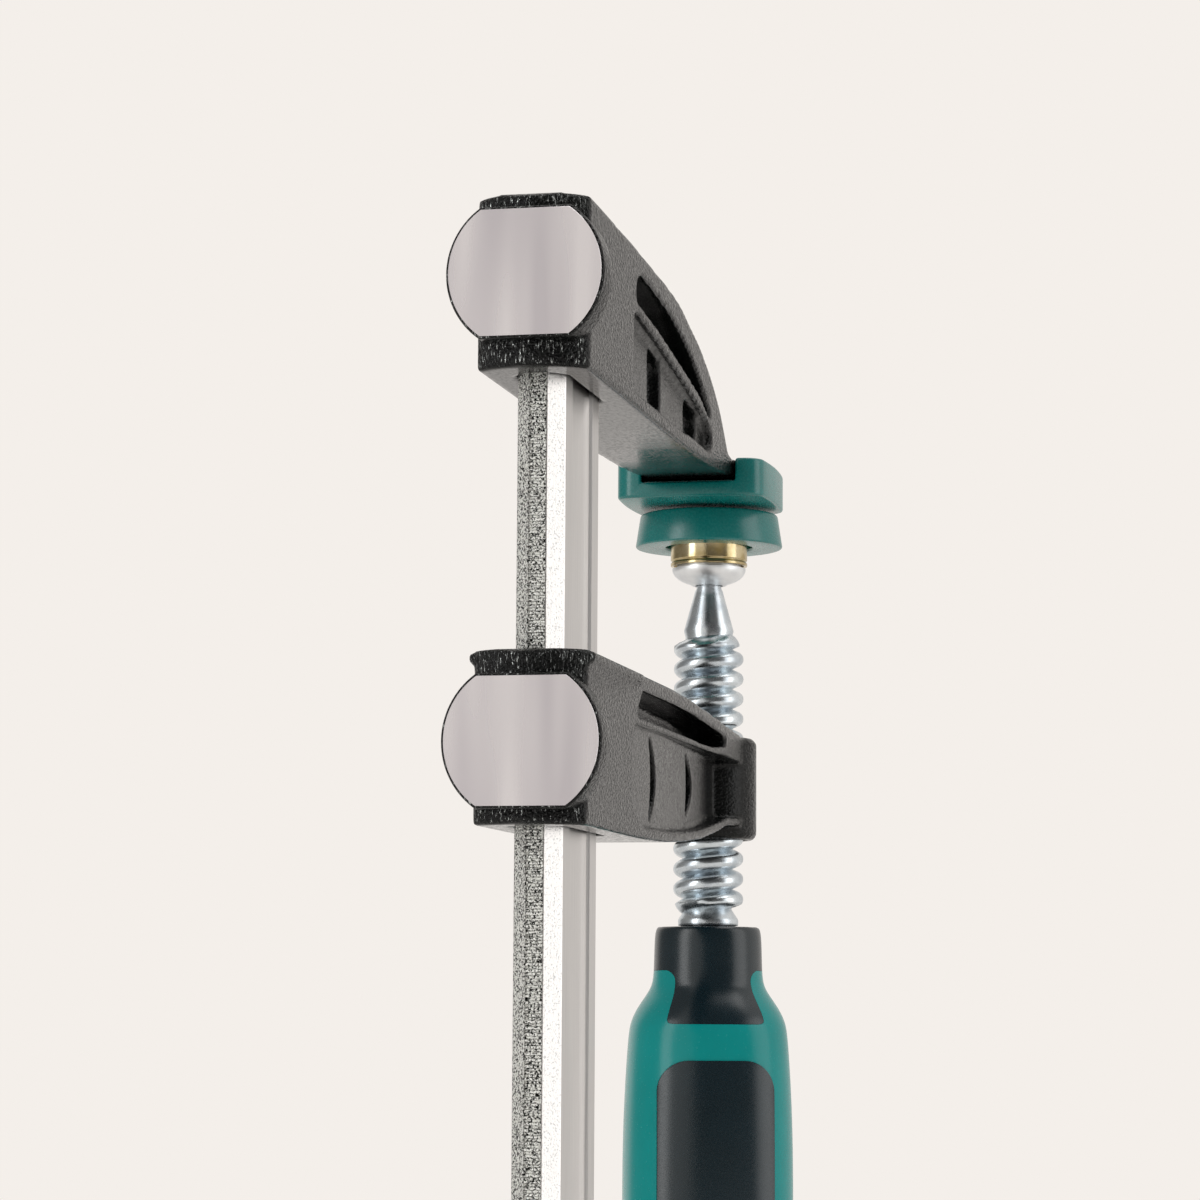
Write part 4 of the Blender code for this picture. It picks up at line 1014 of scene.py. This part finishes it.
@dataclass
class SlidingArm(Casting):
    """The lower casting: it slides on the rail and holds the spindle in a bored boss."""

    name: str = "sliding_arm"
    body: Body = Body.ARM
    button_middle: float = -0.0583
    datum: float = -0.0437
    height: float = 0.0276
    upward: int = -1
    pocket_start: float = 0.0010
    pocket_length: float = 0.0860
    plan_span: tuple = (-0.08, -0.03)
    slot_span: tuple = (-0.09, -0.03)
    slot_half_width: float = 0.0044
    pocket_depth: float = 0.0071
    # Each kind of recess's fillet at the floor, and the radius of its corners
    pocket_radii: tuple = (0.0008, 0.0009)
    crescent_radii: tuple = (0.0004, 0.0001)
    hollow_corner: float = 0.0014
    lip: float = 0.0011
    lip_thickness: float = 0.0017
    boss_radius: float = 0.0096
    boss_top: float = -0.0458
    boss_height: float = 0.0205
    boss_edge: float = 0.0010
    bore: float = 0.0074
    bore_chamfer: float = 0.0008
    slide_play: float = 0.0004
    shape: tuple = (
        (0.0, 0.0, 0.0, 1.0), (0.13, 0.0, 0.004, 1.0), (0.28, 0.0, 0.020, 0.99),
        (0.42, 0.005, 0.052, 0.98), (0.56, 0.025, 0.100, 0.96), (0.70, 0.050, 0.180, 0.93),
        (0.82, 0.070, 0.255, 0.90), (0.93, 0.085, 0.270, 0.86), (1.0, 0.095, 0.265, 0.80),
    )
    upper_pocket: tuple = (
        (0.046, 0.258), (0.112, 0.088), (0.45, 0.084), (0.75, 0.100), (0.93, 0.122), (1.06, 0.140),
        (1.09, 0.200), (0.93, 0.246), (0.75, 0.258), (0.45, 0.260),
    )
    lower_pocket: tuple = (
        (0.0, 0.46), (0.012, 0.37), (0.045, 0.308), (0.30, 0.300), (0.65, 0.299), (0.90, 0.288),
        (1.10, 0.276), (1.32, 0.270), (1.32, 0.670), (1.13, 0.690), (0.965, 0.760), (0.77, 0.835),
        (0.574, 0.880), (0.379, 0.910), (0.13, 0.920), (0.055, 0.860), (0.012, 0.75), (0.0, 0.64),
    )
    # Half the thickness of iron left behind the lower hollow: it thins towards the boss
    web: tuple = (
        (-0.1200, 0.0079), (-0.1000, 0.0077), (-0.0800, 0.0073), (-0.0600, 0.0066), (-0.0400, 0.0055),
        (-0.0300, 0.0046), (-0.0220, 0.0036), (-0.0160, 0.0027), (-0.0050, 0.0022),
    )
    # Each crescent's ends as pocket shares, its half height, bulge, width and depth
    crescents: tuple = (
        (0.250, 0.600, 0.0078, 0.0066, 0.0042, 0.0050), (0.705, 0.545, 0.0062, 0.0090, 0.0070, 0.0062),
    )

    def side(self) -> FlatPoints:
        """Return the casting's side outline."""
        low = self.datum - self.height
        under = [(REAR_END, low + 0.0004), (REAR_CORNER, low)]
        under += [(RAIL_INNER * (1 - u), low + self.height * rise) for u, _d, rise, _w in self.shape]
        top = [(RAIL_INNER * (1 - u), self.datum - self.height * drop + 0.0003)
               for u, drop, _r, _w in reversed(self.shape)]
        return under + top + [(REAR_CORNER, self.datum + 0.0003), (REAR_END, self.datum - 0.0003)]

    def crescent(self, u: float, v: float, half: float, bulge: float, width: float) -> FlatPoints:
        """Return the outline of a crescent that bulges away from the rail and ends in points."""
        (x, z), = self.at(((u, v),))
        steps = [i / 12 - 1 for i in range(25)]
        outer = [(x + bulge * (1 - t * t), z + half * t) for t in steps]
        inner = [(x + (bulge - width) * (1 - t * t), z + half * t) for t in reversed(steps[1:-1])]
        return outer + inner

    def build(self) -> Thing:
        """Model the casting."""
        widths = REAR_PLAN + tuple((RAIL_INNER * (1 - u), BODY_HALF_WIDTH * w) for u, _d, _r, w in self.shape)
        arm = self.blank(self.side(), widths)
        proud = BODY_HALF_WIDTH + self.lip
        lip = [(-0.1532, proud), (-0.1140, proud), (-0.1105, BODY_HALF_WIDTH - 0.001)]
        lip += [(x, -y) for x, y in reversed(lip)]
        combine(arm, prism("lip", lip, self.datum - self.lip_thickness, self.datum, axis="Z"), "UNION")
        upper = pocket(self.at(self.upper_pocket), self.pocket_depth, *self.pocket_radii)
        combine(arm, upper, "DIFFERENCE")
        combine(arm, hollow(self.at(self.lower_pocket), self.web, self.hollow_corner), "DIFFERENCE")
        for *shape, depth in self.crescents:
            combine(arm, pocket(self.crescent(*shape), depth, *self.crescent_radii), "DIFFERENCE")
        top = self.boss_top
        base = top - self.boss_height
        inner = self.boss_radius - self.boss_edge
        combine(arm, turning("boss", (
            (0.0, top), (inner, top), (self.boss_radius, top - self.boss_edge),
            (self.boss_radius, base + self.boss_edge), (inner, base), (0.0, base)), 48), "UNION")
        outer = RAIL_OUTER - self.slide_play
        near = RAIL_INNER + self.slide_play
        low, high = self.slot_span
        slot = ((outer, low), (near, low), (near, high), (outer, high))
        combine(arm, prism("rail slot", slot, -self.slot_half_width, self.slot_half_width), "DIFFERENCE")
        wide = self.bore + self.bore_chamfer
        combine(arm, turning("bore", (
            (0.0, top + OVERRUN), (wide, top + OVERRUN), (wide, top),
            (self.bore, top - self.bore_chamfer), (self.bore, base + self.bore_chamfer), (wide, base),
            (wide, base - OVERRUN), (0.0, base - OVERRUN)), 48), "DIFFERENCE")
        return self.cast_skin(arm)


@dataclass
class SoftCaps:
    """The two push-on caps that keep the iron off the work."""

    length: float = CAP_LENGTH
    width: float = CAP_WIDTH
    height: float = 0.0074
    floor: float = 0.0027
    wall: float = CAP_WALL
    corner: float = 0.0030
    crown: float = 0.0009
    offset: float = CAP_OFFSET
    round_top: float = 0.0138
    round_base: float = 0.0148
    round_height: float = 0.0066
    round_floor: float = 0.0020
    lip: float = 0.0038
    plate_radius: float = 0.0122
    plate_thickness: float = 0.0024
    notch_half_width: float = 0.0094
    notch_depth: float = 0.0044
    notch_lip: float = 0.0002
    gap: float = 0.0008

    def fixed(self) -> Thing:
        """Model the fixed jaw's square cap, open at the top and notched for the neck."""
        outline = [(x - self.offset, y)
                   for x, y in crowned_outline(self.length / 2, self.width / 2, self.corner, self.crown)]
        cap = prism("fixed_jaw_cap_moulding", outline, 0.0, self.height, axis="Z")
        hollow = [(x - self.offset, y) for x, y in rounded_box_outline(
            self.length / 2 - self.wall, self.width / 2 - self.wall, self.corner - self.wall / 2)]
        combine(cap, prism("hollow", hollow, self.floor, self.height + OVERRUN, axis="Z"), "DIFFERENCE")
        near = -self.offset - self.length / 2
        far = near + self.notch_depth
        half = self.notch_half_width
        outline = ((near - OVERRUN, -half), (far, -half), (far, half), (near - OVERRUN, half))
        notch = prism("notch", outline, self.floor + self.notch_lip, self.height + OVERRUN, axis="Z")
        combine(cap, notch, "DIFFERENCE")
        return smooth(rounded(cap, 0.00055, 3, 50.0))

    def round(self) -> Thing:
        """Model the pressure plate's round cap with the lip that hooks under its rim."""
        top = -self.gap
        base = top - self.round_height
        bore = self.plate_radius + SEAT_GAP
        plate_top = top - self.round_floor
        ledge = plate_top - SEAT_GAP - self.plate_thickness - SEAT_GAP
        profile = (
            (0.0, top), (self.round_top, top), (self.round_base, base), (bore - self.lip, base),
            (bore - self.lip, ledge), (bore, ledge), (bore, plate_top), (0.0, plate_top))
        cap = turning("pressure_plate_cap_moulding", profile, 96)
        return smooth(rounded(cap, 0.00045, 3, 40.0))

    def dress(self, finishes: Finishes) -> None:
        """Build both caps."""
        place_piece(self.fixed(), Body.FRAME, finishes.cap, "teal_cap_plastic", ("fixed_jaw_cap",))
        place_piece(self.round(), Body.PLATE, finishes.cap, "teal_cap_plastic", ("pressure_plate_cap",))


@dataclass
class PressurePlate:
    """The swivelling plate with its turned collar, and the cup that keeps the ball in."""

    radius: float = 0.0122
    thickness: float = 0.0024
    collar_radius: float = 0.0077
    collar_length: float = 0.0056
    groove_depth: float = 0.00025
    top: float = -0.0031
    bore: float = 0.0070
    ball_radius: float = 0.0052
    ball_centre: float = -0.0096
    cup_radius: float = 0.0074
    cup_drop: float = 0.0034
    neck: float = 0.0028

    def socket(self, height: float) -> float:
        """Return the radius of the socket's sphere at a height."""
        clear = self.ball_radius + SEAT_GAP
        return math.sqrt(max(clear ** 2 - (height - self.ball_centre) ** 2, 0.0))

    def plate(self) -> Thing:
        """Model the plate, its collar and the socket."""
        under = self.top - self.thickness
        foot = under - self.collar_length
        groove = self.collar_radius - self.groove_depth
        dome_top = self.ball_centre + self.ball_radius + SEAT_GAP
        dome = [(self.socket(z), z) for z in (
            self.ball_centre + (dome_top - self.ball_centre) * s for s in (0.1, 0.3, 0.5, 0.7, 0.85, 0.95))]
        profile = [
            (0.0, self.top), (self.radius, self.top), (self.radius, under), (self.collar_radius, under),
            (self.collar_radius, foot + 0.0012), (groove, foot + 0.0010), (groove, foot + 0.0008),
            (self.collar_radius, foot + 0.0006),
            (self.collar_radius, foot), (self.bore, foot), (self.bore, self.ball_centre + 0.0003),
        ] + dome + [(0.0, dome_top)]
        return smooth(rounded(turning("pressure_plate_turning", profile, 96), 0.00018, 2, 35.0))

    def cup(self) -> Thing:
        """Model the bowl-shaped retainer under the ball."""
        rim = self.top - self.thickness - self.collar_length - 0.0005
        sleeve_top = rim + 0.0014
        foot = rim - self.cup_drop
        seat = [(max(self.socket(z), self.neck), z)
                for z in (foot + (sleeve_top - foot) * s for s in (0.0, 0.2, 0.4, 0.6, 0.8, 1.0))]
        bowl = [(self.cup_radius * math.cos(a) ** 0.8, rim - self.cup_drop * math.sin(a))
                for a in (math.radians(d) for d in (0, 8, 16, 26, 36, 46, 56, 64))]
        sleeve = self.socket(sleeve_top) + 0.0010
        profile = [(sleeve, sleeve_top), (sleeve, rim)] + bowl + [(self.neck + 0.0005, foot)] + seat
        return smooth(turning("ball_retainer_cup", profile, 96))

    def dress(self, finishes: Finishes) -> None:
        """Build the plate and the cup."""
        place_piece(self.plate(), Body.PLATE, finishes.passivated, "passivated_steel", ("pressure_plate",))
        place_piece(self.cup(), Body.BALL_CUP, finishes.tumbled, "bright_zinc", ("ball_retainer",))


@dataclass
class Spindle:
    """The screw: ball, neck and cone, rolled thread with rounded crests, shoulder and shank."""

    ball_radius: float = 0.0052
    ball_centre: float = -0.0096
    neck_radius: float = 0.0025
    cone_top: float = -0.01556
    thread_top: float = -0.02416
    thread_bottom: float = -0.08196
    crest: float = 0.0070
    root: float = 0.0048
    pitch: float = 0.0040
    cone_end: float = 0.0050
    shoulder_radius: float = 0.0060
    shoulder_foot: float = -0.08316
    shank_radius: float = 0.0054
    shank_foot: float = -0.16566
    thread_steps: int = 40
    lead: float = 0.0030
    lead_steps: int = 6
    lead_taper: float = 0.935
    seam: float = 0.00001

    def thread(self) -> Thing:
        """Model the rolled thread: one turn's rounded profile, wound to the right along the axis."""
        flank = self.pitch * 0.25
        half = ((0.0, 0.0), (0.035, 0.10), (0.09, 0.36), (0.16, 0.63), (0.25, 0.83), (0.36, 0.96),
                (0.50, 1.0))
        shares = half + tuple((1.0 - along, height) for along, height in reversed(half[:-1]))
        start = self.thread_bottom - flank
        points = [(self.root + (self.crest - self.root) * height, 0.0, start + self.pitch * along)
                  for along, height in shares]
        rod = start_drawing("spindle_thread", points[0])
        draw_through(points[0], points[1:])
        bpy.ops.object.mode_set(mode="OBJECT")
        turns = math.ceil((self.thread_top - self.thread_bottom) / self.pitch) + 1
        modify(rod, "SCREW", screw_offset=self.pitch, iterations=turns, steps=self.thread_steps,
               render_steps=self.thread_steps, use_merge_vertices=True, merge_threshold=self.seam)
        apply_all(rod)
        with editing(rod):
            outward()
            for end, sign in ((self.thread_top, 1), (self.thread_bottom, -1)):
                bpy.ops.mesh.select_all(action="SELECT")
                bpy.ops.mesh.bisect(plane_co=(0.0, 0.0, end), plane_no=(0.0, 0.0, sign), use_fill=True,
                                    clear_outer=True, threshold=0.000001)
                for step in range(self.lead_steps):
                    edge = end - sign * self.lead * (1 - step / self.lead_steps)
                    select_where(rod, Pick.VERTS, lambda co, _n: (co.z - edge) * sign > 0)
                    widen(self.lead_taper, edge)
            outward()
        return smooth(rod, 60.0)

    def core(self) -> Thing:
        """Model the ball, neck, cone, core, shoulder and shank in one turning."""
        neck_angle = math.pi - math.asin(self.neck_radius / self.ball_radius)
        ball = [(self.ball_radius * math.sin(neck_angle * i / 16),
                 self.ball_centre + self.ball_radius * math.cos(neck_angle * i / 16)) for i in range(17)]
        ball[0] = (0.0, self.ball_centre + self.ball_radius)
        inner = self.root - 0.0001
        foot = self.neck_radius + 0.0003
        first = self.cone_top - 0.0006
        cone = [(foot + (self.cone_end - foot) * i / 6, first + (self.thread_top - first) * i / 6)
                for i in range(7)]
        profile = ball + [(self.neck_radius, self.cone_top)] + cone + [
            (inner, self.thread_top - 0.0012),
            (inner, self.thread_bottom + 0.0020), (self.shoulder_radius, self.thread_bottom),
            (self.shoulder_radius, self.shoulder_foot), (self.shank_radius, self.shoulder_foot),
            (self.shank_radius, self.shank_foot + 0.001), (self.shank_radius - 0.001, self.shank_foot),
            (0.0, self.shank_foot)]
        return smooth(rounded(turning("spindle_core", profile, 64), 0.0002, 2, 30.0))

    def dress(self, finishes: Finishes) -> None:
        """Build the spindle."""
        place_piece(self.core(), Body.SCREW, finishes.rolled, "bright_zinc", ("spindle",))
        place_piece(self.thread(), Body.SCREW, finishes.rolled, "bright_zinc")


@dataclass
class Grip:
    """The two-material handle: hard shell, soft collar with skirts, two soft panels and an end cap."""

    top: float = -0.08346
    length: float = 0.1112
    radius: float = 0.0170
    turn: float = math.radians(17.5)
    squareness: float = 0.075
    soft_depth: float = 0.0022
    gap: float = 0.00004
    collar_length: float = 0.0086
    skirt_half_width: float = 0.0096
    skirt_length: float = 0.0105
    panel_top: float = 0.0262
    panel_length: float = 0.0620
    panel_half_width: float = 0.0115
    panel_corner: float = 0.0060
    panel_stand: float = 0.0003
    end_cap_length: float = 0.0110
    bore: float = 0.0057
    bore_end: float = -0.1660
    cage: int = 16
    end_crease: float = 0.85
    shape: tuple = (
        (0.0, 0.585, 0.0), (0.007, 0.629, 0.0), (0.087, 0.629, 0.0), (0.110, 0.666, 0.1),
        (0.137, 0.808, 0.5), (0.165, 0.917, 0.85), (0.193, 0.952, 1.0), (0.313, 1.0, 1.0),
        (0.42, 1.015, 1.0), (0.55, 1.015, 1.0), (0.68, 0.985, 1.0), (0.80, 0.94, 1.0),
        (0.885, 0.935, 0.9), (0.945, 0.955, 0.75), (0.98, 0.88, 0.6), (1.0, 0.70, 0.5),
    )
    skirt_shares: tuple = (
        (0.0, 1.22), (0.025, 1.02), (0.07, 0.88), (0.14, 0.80), (0.24, 0.765), (0.45, 0.80), (0.75, 0.93),
        (0.94, 1.0), (1.0, 0.95),
    )

    def skin(self, name: str, inset: float, start: float = 0.0) -> Thing:
        """Model the grip's skin: rings extruded down the axis, squared, then rounded by subdivision.

        Args:
            name: The new object's name.
            inset: How far the whole skin is taken in.
            start: How far under the grip's top the skin begins.

        Returns:
            The closed solid.
        """
        stations: list[tuple[float, float, float]] = []
        for along, share, square in self.shape:
            depth = self.length * along
            if depth < start:
                continue
            stations.append((self.top - depth, self.radius * share - inset, square))
        if start > 0.0:
            stations.insert(0, (self.top - start, stations[0][1], 0.0))
        clear_selection()
        first = stations[0]
        bpy.ops.mesh.primitive_circle_add(vertices=self.cage, radius=first[1], fill_type="NGON",
                                          location=(0.0, 0.0, first[0]))
        thing = name_it(bpy.context.object, name)
        apply_transform(thing)
        with editing(thing):
            bpy.ops.mesh.select_all(action="SELECT")
            for (z0, r0, _s0), (z1, r1, _s1) in zip(stations, stations[1:]):
                bpy.ops.mesh.extrude_region_move(TRANSFORM_OT_translate={"value": (0.0, 0.0, z1 - z0)})
                widen(r1 / r0, z1)
            for z, _r, square in stations:
                if square > 0.0:
                    self.square_up(thing, z, square)
            outward()
            for level in (stations[0][0], stations[-1][0]):
                select_where(thing, Pick.EDGES,
                             lambda co, along: abs(co.z - level) < SAME_RING and abs(along.z) < 0.3)
                bpy.ops.transform.edge_crease(value=self.end_crease)
        modify(thing, "SUBSURF", levels=2, render_levels=2)
        apply_all(thing)
        swell = 1.0 / (2 / 3 + math.cos(math.tau / self.cage) / 3)
        with editing(thing):
            bpy.ops.mesh.select_all(action="SELECT")
            widen(swell, 0.0)
        thing.rotation_euler.z = self.turn
        apply_transform(thing)
        return thing

    def square_up(self, thing: Thing, z: float, square: float) -> None:
        """Push the diagonals of one ring out and pull its sides in, by a share of the squareness."""
        for sign, offset in ((1, math.pi / 4), (-1, 0.0)):
            factor = 1.0 + sign * self.squareness * square / 2

            def chosen(co: Vector, _normal: Vector) -> bool:
                """Tell whether a vertex is on this ring, close to one of its four quarter points.

                Args:
                    co: The vertex's place.
                    _normal: Its normal, which isn't used.

                Returns:
                    True where the vertex is to be selected.
                """
                angle = math.atan2(co.y, co.x) - offset
                away = abs((angle + math.pi / 4) % (math.pi / 2) - math.pi / 4)
                return abs(co.z - z) < SAME_RING and away < 0.05

            select_where(thing, Pick.VERTS, chosen)
            widen(factor, z)

    def facing(self, thing: Thing, depth: float) -> Thing:
        """Turn a cutter drawn across X, with its height along Z, to face the grip's front."""
        thing.matrix_world = (Matrix.Translation((0.0, 0.0, self.top)) @ Matrix.Rotation(self.turn, 4, "Z")
                              @ Matrix.Rotation(-math.pi / 2, 4, "Z") @ Matrix.Translation((0.0, depth, 0.0)))
        apply_transform(thing)
        return thing

    def collar_space(self, grow: float) -> Thing:
        """Return the space of the soft collar with its front and rear skirts."""
        reach = self.radius * 2
        ring = turning("collar space", ((0.0, self.top + OVERRUN), (reach, self.top + OVERRUN),
                                        (reach, self.top - self.collar_length - grow),
                                        (0.0, self.top - self.collar_length - grow)), 24)
        start = -self.collar_length + 0.0006
        run = self.skirt_length + 0.0006 + grow
        right = [(self.skirt_half_width * w + grow, start - run * u) for u, w in self.skirt_shares]
        outline = softened_outline([(-x, z) for x, z in right] + right[::-1], 0.0010, 3)
        skirt = self.facing(prism("skirt space", outline, -reach, reach), 0.0)
        return combine(ring, skirt, "UNION")

    def panel_space(self, side: int, grow: float) -> Thing:
        """Return the space of one grip panel."""
        middle = -self.panel_top - self.panel_length / 2
        outline = [(x, z + middle) for x, z in rounded_box_outline(
            self.panel_half_width + grow, self.panel_length / 2 + grow, self.panel_corner + grow, 10)]
        space = prism("panel space", outline, 0.0, self.radius * 2)
        return self.facing(space, 0.0 if side > 0 else -self.radius * 2)

    def core(self) -> Thing:
        """Return the hard core under the soft shot."""
        return self.skin("core", self.soft_depth + self.gap, self.soft_depth + self.gap)

    def hole(self) -> Thing:
        """Return the cutter for the spindle's bore."""
        return turning("bore", ((0.0, self.top + OVERRUN), (self.bore, self.top + OVERRUN),
                                (self.bore, self.bore_end), (0.0, self.bore_end)), 48)

    def shell(self) -> Thing:
        """Model the hard shell with the soft shot's recesses."""
        shell = self.skin("handle_shell", 0.0)
        recess = combine(self.collar_space(self.gap), self.core(), "DIFFERENCE")
        combine(shell, recess, "DIFFERENCE")
        for side in (1, -1):
            recess = combine(self.panel_space(side, self.gap), self.core(), "DIFFERENCE")
            combine(shell, recess, "DIFFERENCE")
        combine(shell, self.hole(), "DIFFERENCE")
        floor = self.top - self.length + self.end_cap_length
        combine(shell, self.below(floor + self.gap), "DIFFERENCE")
        return smooth(shell, 40.0)

    def below(self, level: float) -> Thing:
        """Return a turning that fills all the space of the grip below a level."""
        reach = self.radius * 2
        base = self.top - self.length - OVERRUN
        return turning("below", ((0.0, level), (reach, level), (reach, base), (0.0, base)), 24)

    def collar(self) -> Thing:
        """Model the soft collar and its skirts."""
        collar = self.skin("handle_soft_collar", 0.0)
        combine(collar, self.hole(), "DIFFERENCE")
        combine(collar, self.skin("core", self.soft_depth, self.soft_depth), "DIFFERENCE")
        combine(collar, self.collar_space(0.0), "INTERSECT")
        return smooth(collar, 40.0)

    def panel(self, label: str, side: int) -> Thing:
        """Model one soft panel, a little proud of the shell."""
        panel = self.skin(f"grip_panel_{label}_moulding", -self.panel_stand)
        combine(panel, self.panel_space(side, 0.0), "INTERSECT")
        combine(panel, self.skin("core", self.soft_depth, self.soft_depth), "DIFFERENCE")
        return smooth(panel, 40.0)

    def end_cap(self) -> Thing:
        """Model the soft end cap."""
        cap = self.skin("handle_end_cap_moulding", 0.0)
        combine(cap, self.below(self.top - self.length + self.end_cap_length), "INTERSECT")
        return smooth(cap, 40.0)

    def dress(self, finishes: Finishes) -> None:
        """Build the handle's five mouldings."""
        place_piece(self.shell(), Body.SCREW, finishes.hard, "teal_handle_plastic", ("handle_body",))
        soft = (finishes.soft, "grey_soft_plastic")
        place_piece(self.collar(), Body.SCREW, *soft, ("handle_collar",))
        place_piece(self.panel("front", -1), Body.SCREW, *soft, ("grip_panel_front",))
        place_piece(self.panel("rear", 1), Body.SCREW, *soft, ("grip_panel_rear",))
        place_piece(self.end_cap(), Body.SCREW, *soft, ("handle_end_cap",))


# Studio


@dataclass(frozen=True)
class Softbox:
    """One lamp: where it stands, how big it is and how bright its face is, where 1 is white."""

    name: str
    azimuth: float
    elevation: float
    distance: float
    width: float
    height: float
    brightness: float


@dataclass
class Studio:
    """Pale floor and background, soft lamps and the camera at the photograph's angle."""

    background: str = "F4EFEA"
    paper: str = "F1ECE7"
    fill: float = 0.60
    floor_level: float = -0.3524
    floor_size: float = 3.0
    eye: Point = (-0.70458, -0.13176, -0.10117)
    yaw: float = math.radians(12.344)
    pitch: float = math.radians(6.626)
    roll: float = math.radians(0.3416)
    lens: float = 107.5
    middle: Point = (-0.08, 0.0, -0.05)
    softboxes: tuple = (
        Softbox("strip", math.radians(135), math.radians(12), 0.95, 0.34, 0.95, 2.8),
        Softbox("side", math.radians(-92), math.radians(8), 0.85, 0.50, 0.95, 1.2),
        Softbox("top", math.radians(-60), math.radians(72), 0.95, 0.60, 0.60, 1.6),
    )
    # How bright gloss sees the studio at each compass point: pale behind the clamp, dim round the camera
    surroundings: tuple = (
        (-180, 0.10), (-112, 0.10), (-98, 0.85), (-60, 0.95), (-36, 0.80), (0, 0.80), (10, 1.0), (50, 1.0),
        (66, 0.28), (140, 0.30), (152, 0.84), (176, 0.79), (180, 0.10),
    )

    def camera(self) -> None:
        """Set the camera up where the photograph was taken from."""
        level_share = math.cos(self.pitch)
        forward = Vector((math.cos(self.yaw) * level_share, math.sin(self.yaw) * level_share,
                          math.sin(self.pitch)))
        level = Vector((math.sin(self.yaw), -math.cos(self.yaw), 0.0))
        rise = level.cross(forward)
        right = level * math.cos(self.roll) + rise * math.sin(self.roll)
        up = rise * math.cos(self.roll) - level * math.sin(self.roll)
        data = bpy.data.cameras.new("camera")
        data.sensor_width = 36.0
        data.lens = self.lens
        data.clip_start = 0.01
        eye = bpy.data.objects.new("camera", data)
        turn = Matrix((right, up, -forward)).transposed().to_4x4()
        eye.matrix_world = Matrix.Translation(self.eye) @ turn
        bpy.context.scene.collection.objects.link(eye)
        bpy.context.scene.camera = eye

    def lamp(self, softbox: Softbox) -> None:
        """Add a soft rectangular lamp that points at the middle of the clamp's upper half."""
        data = bpy.data.lights.new(softbox.name, "AREA")
        data.shape = "RECTANGLE"
        data.size = softbox.width
        data.size_y = softbox.height
        data.energy = softbox.brightness * math.pi * softbox.width * softbox.height
        level = math.cos(softbox.elevation)
        away = Vector((math.cos(softbox.azimuth) * level, math.sin(softbox.azimuth) * level,
                       math.sin(softbox.elevation)))
        lamp = bpy.data.objects.new(softbox.name, data)
        lamp.location = Vector(self.middle) + away * softbox.distance
        lamp.rotation_euler = (-away).to_track_quat("-Z", "Y").to_euler()
        bpy.context.scene.collection.objects.link(lamp)

    def seen(self, nodes: Nodes) -> Socket:
        """Return 1 for the rays that see or mirror the surroundings, and 0 for those that light the clamp."""
        path = add_node(nodes.holder, "ShaderNodeLightPath").outputs
        clear = nodes.maths("MAXIMUM", path["Is Camera Ray"], path["Is Glossy Ray"])
        return nodes.maths("MAXIMUM", clear, path["Is Transmission Ray"])

    def world(self) -> None:
        """Light evenly from all round, with the pale background for the eye and for gloss."""
        world = bpy.data.worlds.new("studio")
        world.use_nodes = True
        bpy.context.scene.world = world
        world.node_tree.nodes.clear()
        nodes = Nodes(world)
        glossy = add_node(world, "ShaderNodeLightPath").outputs["Is Glossy Ray"]
        compass = add_node(world, "ShaderNodeTexGradient", {"gradient_type": "RADIAL"}, {
            "Vector": add_node(world, "ShaderNodeTexCoord").outputs["Generated"]}).outputs["Fac"]
        pale = linear(self.background)
        dim = nodes.ramp(compass, *(
            (degrees / 360 + 0.5, (pale[0] * share, pale[1] * share, pale[2] * share, 1.0))
            for degrees, share in self.surroundings))
        light = add_node(world, "ShaderNodeBackground", inputs={
            "Color": (1.0, 1.0, 1.0, 1.0), "Strength": self.fill})
        back = add_node(world, "ShaderNodeBackground", inputs={
            "Color": nodes.mix(glossy, pale, dim), "Strength": 1.0})
        mixed = add_node(world, "ShaderNodeMixShader", inputs={
            0: self.seen(nodes), 1: light.outputs["Background"], 2: back.outputs["Background"]})
        add_node(world, "ShaderNodeOutputWorld", inputs={"Surface": mixed.outputs["Shader"]})

    def floor(self) -> None:
        """Lay the pale floor under the rail's foot."""
        clear_selection()
        bpy.ops.mesh.primitive_plane_add(size=self.floor_size, location=(0.0, 0.0, self.floor_level))
        floor = name_it(bpy.context.object, "floor")
        apply_transform(floor)
        paper = Surface("matt_pale_paper")
        cloud = paper.noise(paper.place, 3.0, 3.0)
        paper.feed({"Base Color": paper.ramp(cloud, (0.3, self.paper), (0.7, self.background)),
                    "Roughness": 0.9, "Specular IOR Level": 0.1})
        # The paper runs out into the background, so that no edge of it is seen or mirrored
        reach = add_node(paper.holder, "ShaderNodeVectorMath", {"operation": "LENGTH"}, {0: paper.place})
        fade = paper.span(reach.outputs["Value"], 0.55, 1.30, kind="SMOOTHSTEP")
        pale = add_node(paper.holder, "ShaderNodeEmission", inputs={
            "Color": linear(self.background), "Strength": 1.0})
        blend = add_node(paper.holder, "ShaderNodeMixShader", inputs={
            0: paper.maths("MULTIPLY", fade, self.seen(paper)), 1: paper.shader.outputs["BSDF"],
            2: pale.outputs["Emission"]})
        join(paper.holder, paper.holder.node_tree.nodes["Material Output"], {
            "Surface": blend.outputs["Shader"]})
        floor.data.materials.append(paper.holder)

    def build(self) -> None:
        """Set the whole studio up."""
        bpy.context.scene.view_settings.view_transform = "Standard"
        self.floor()
        self.world()
        for softbox in self.softboxes:
            self.lamp(softbox)
        self.camera()


def main() -> None:
    """Build every sub-assembly, then the studio."""
    logging.basicConfig(level=logging.INFO, format="%(name)s: %(message)s")
    finishes = Finishes()
    for assembly in (Rail(), FixedJaw(), SlidingArm(), SoftCaps(), PressurePlate(), Spindle(), Grip()):
        assembly.dress(finishes)
        LOG.info("%s is done", type(assembly).__name__)
    Studio().build()


if __name__ == "__main__":
    main()
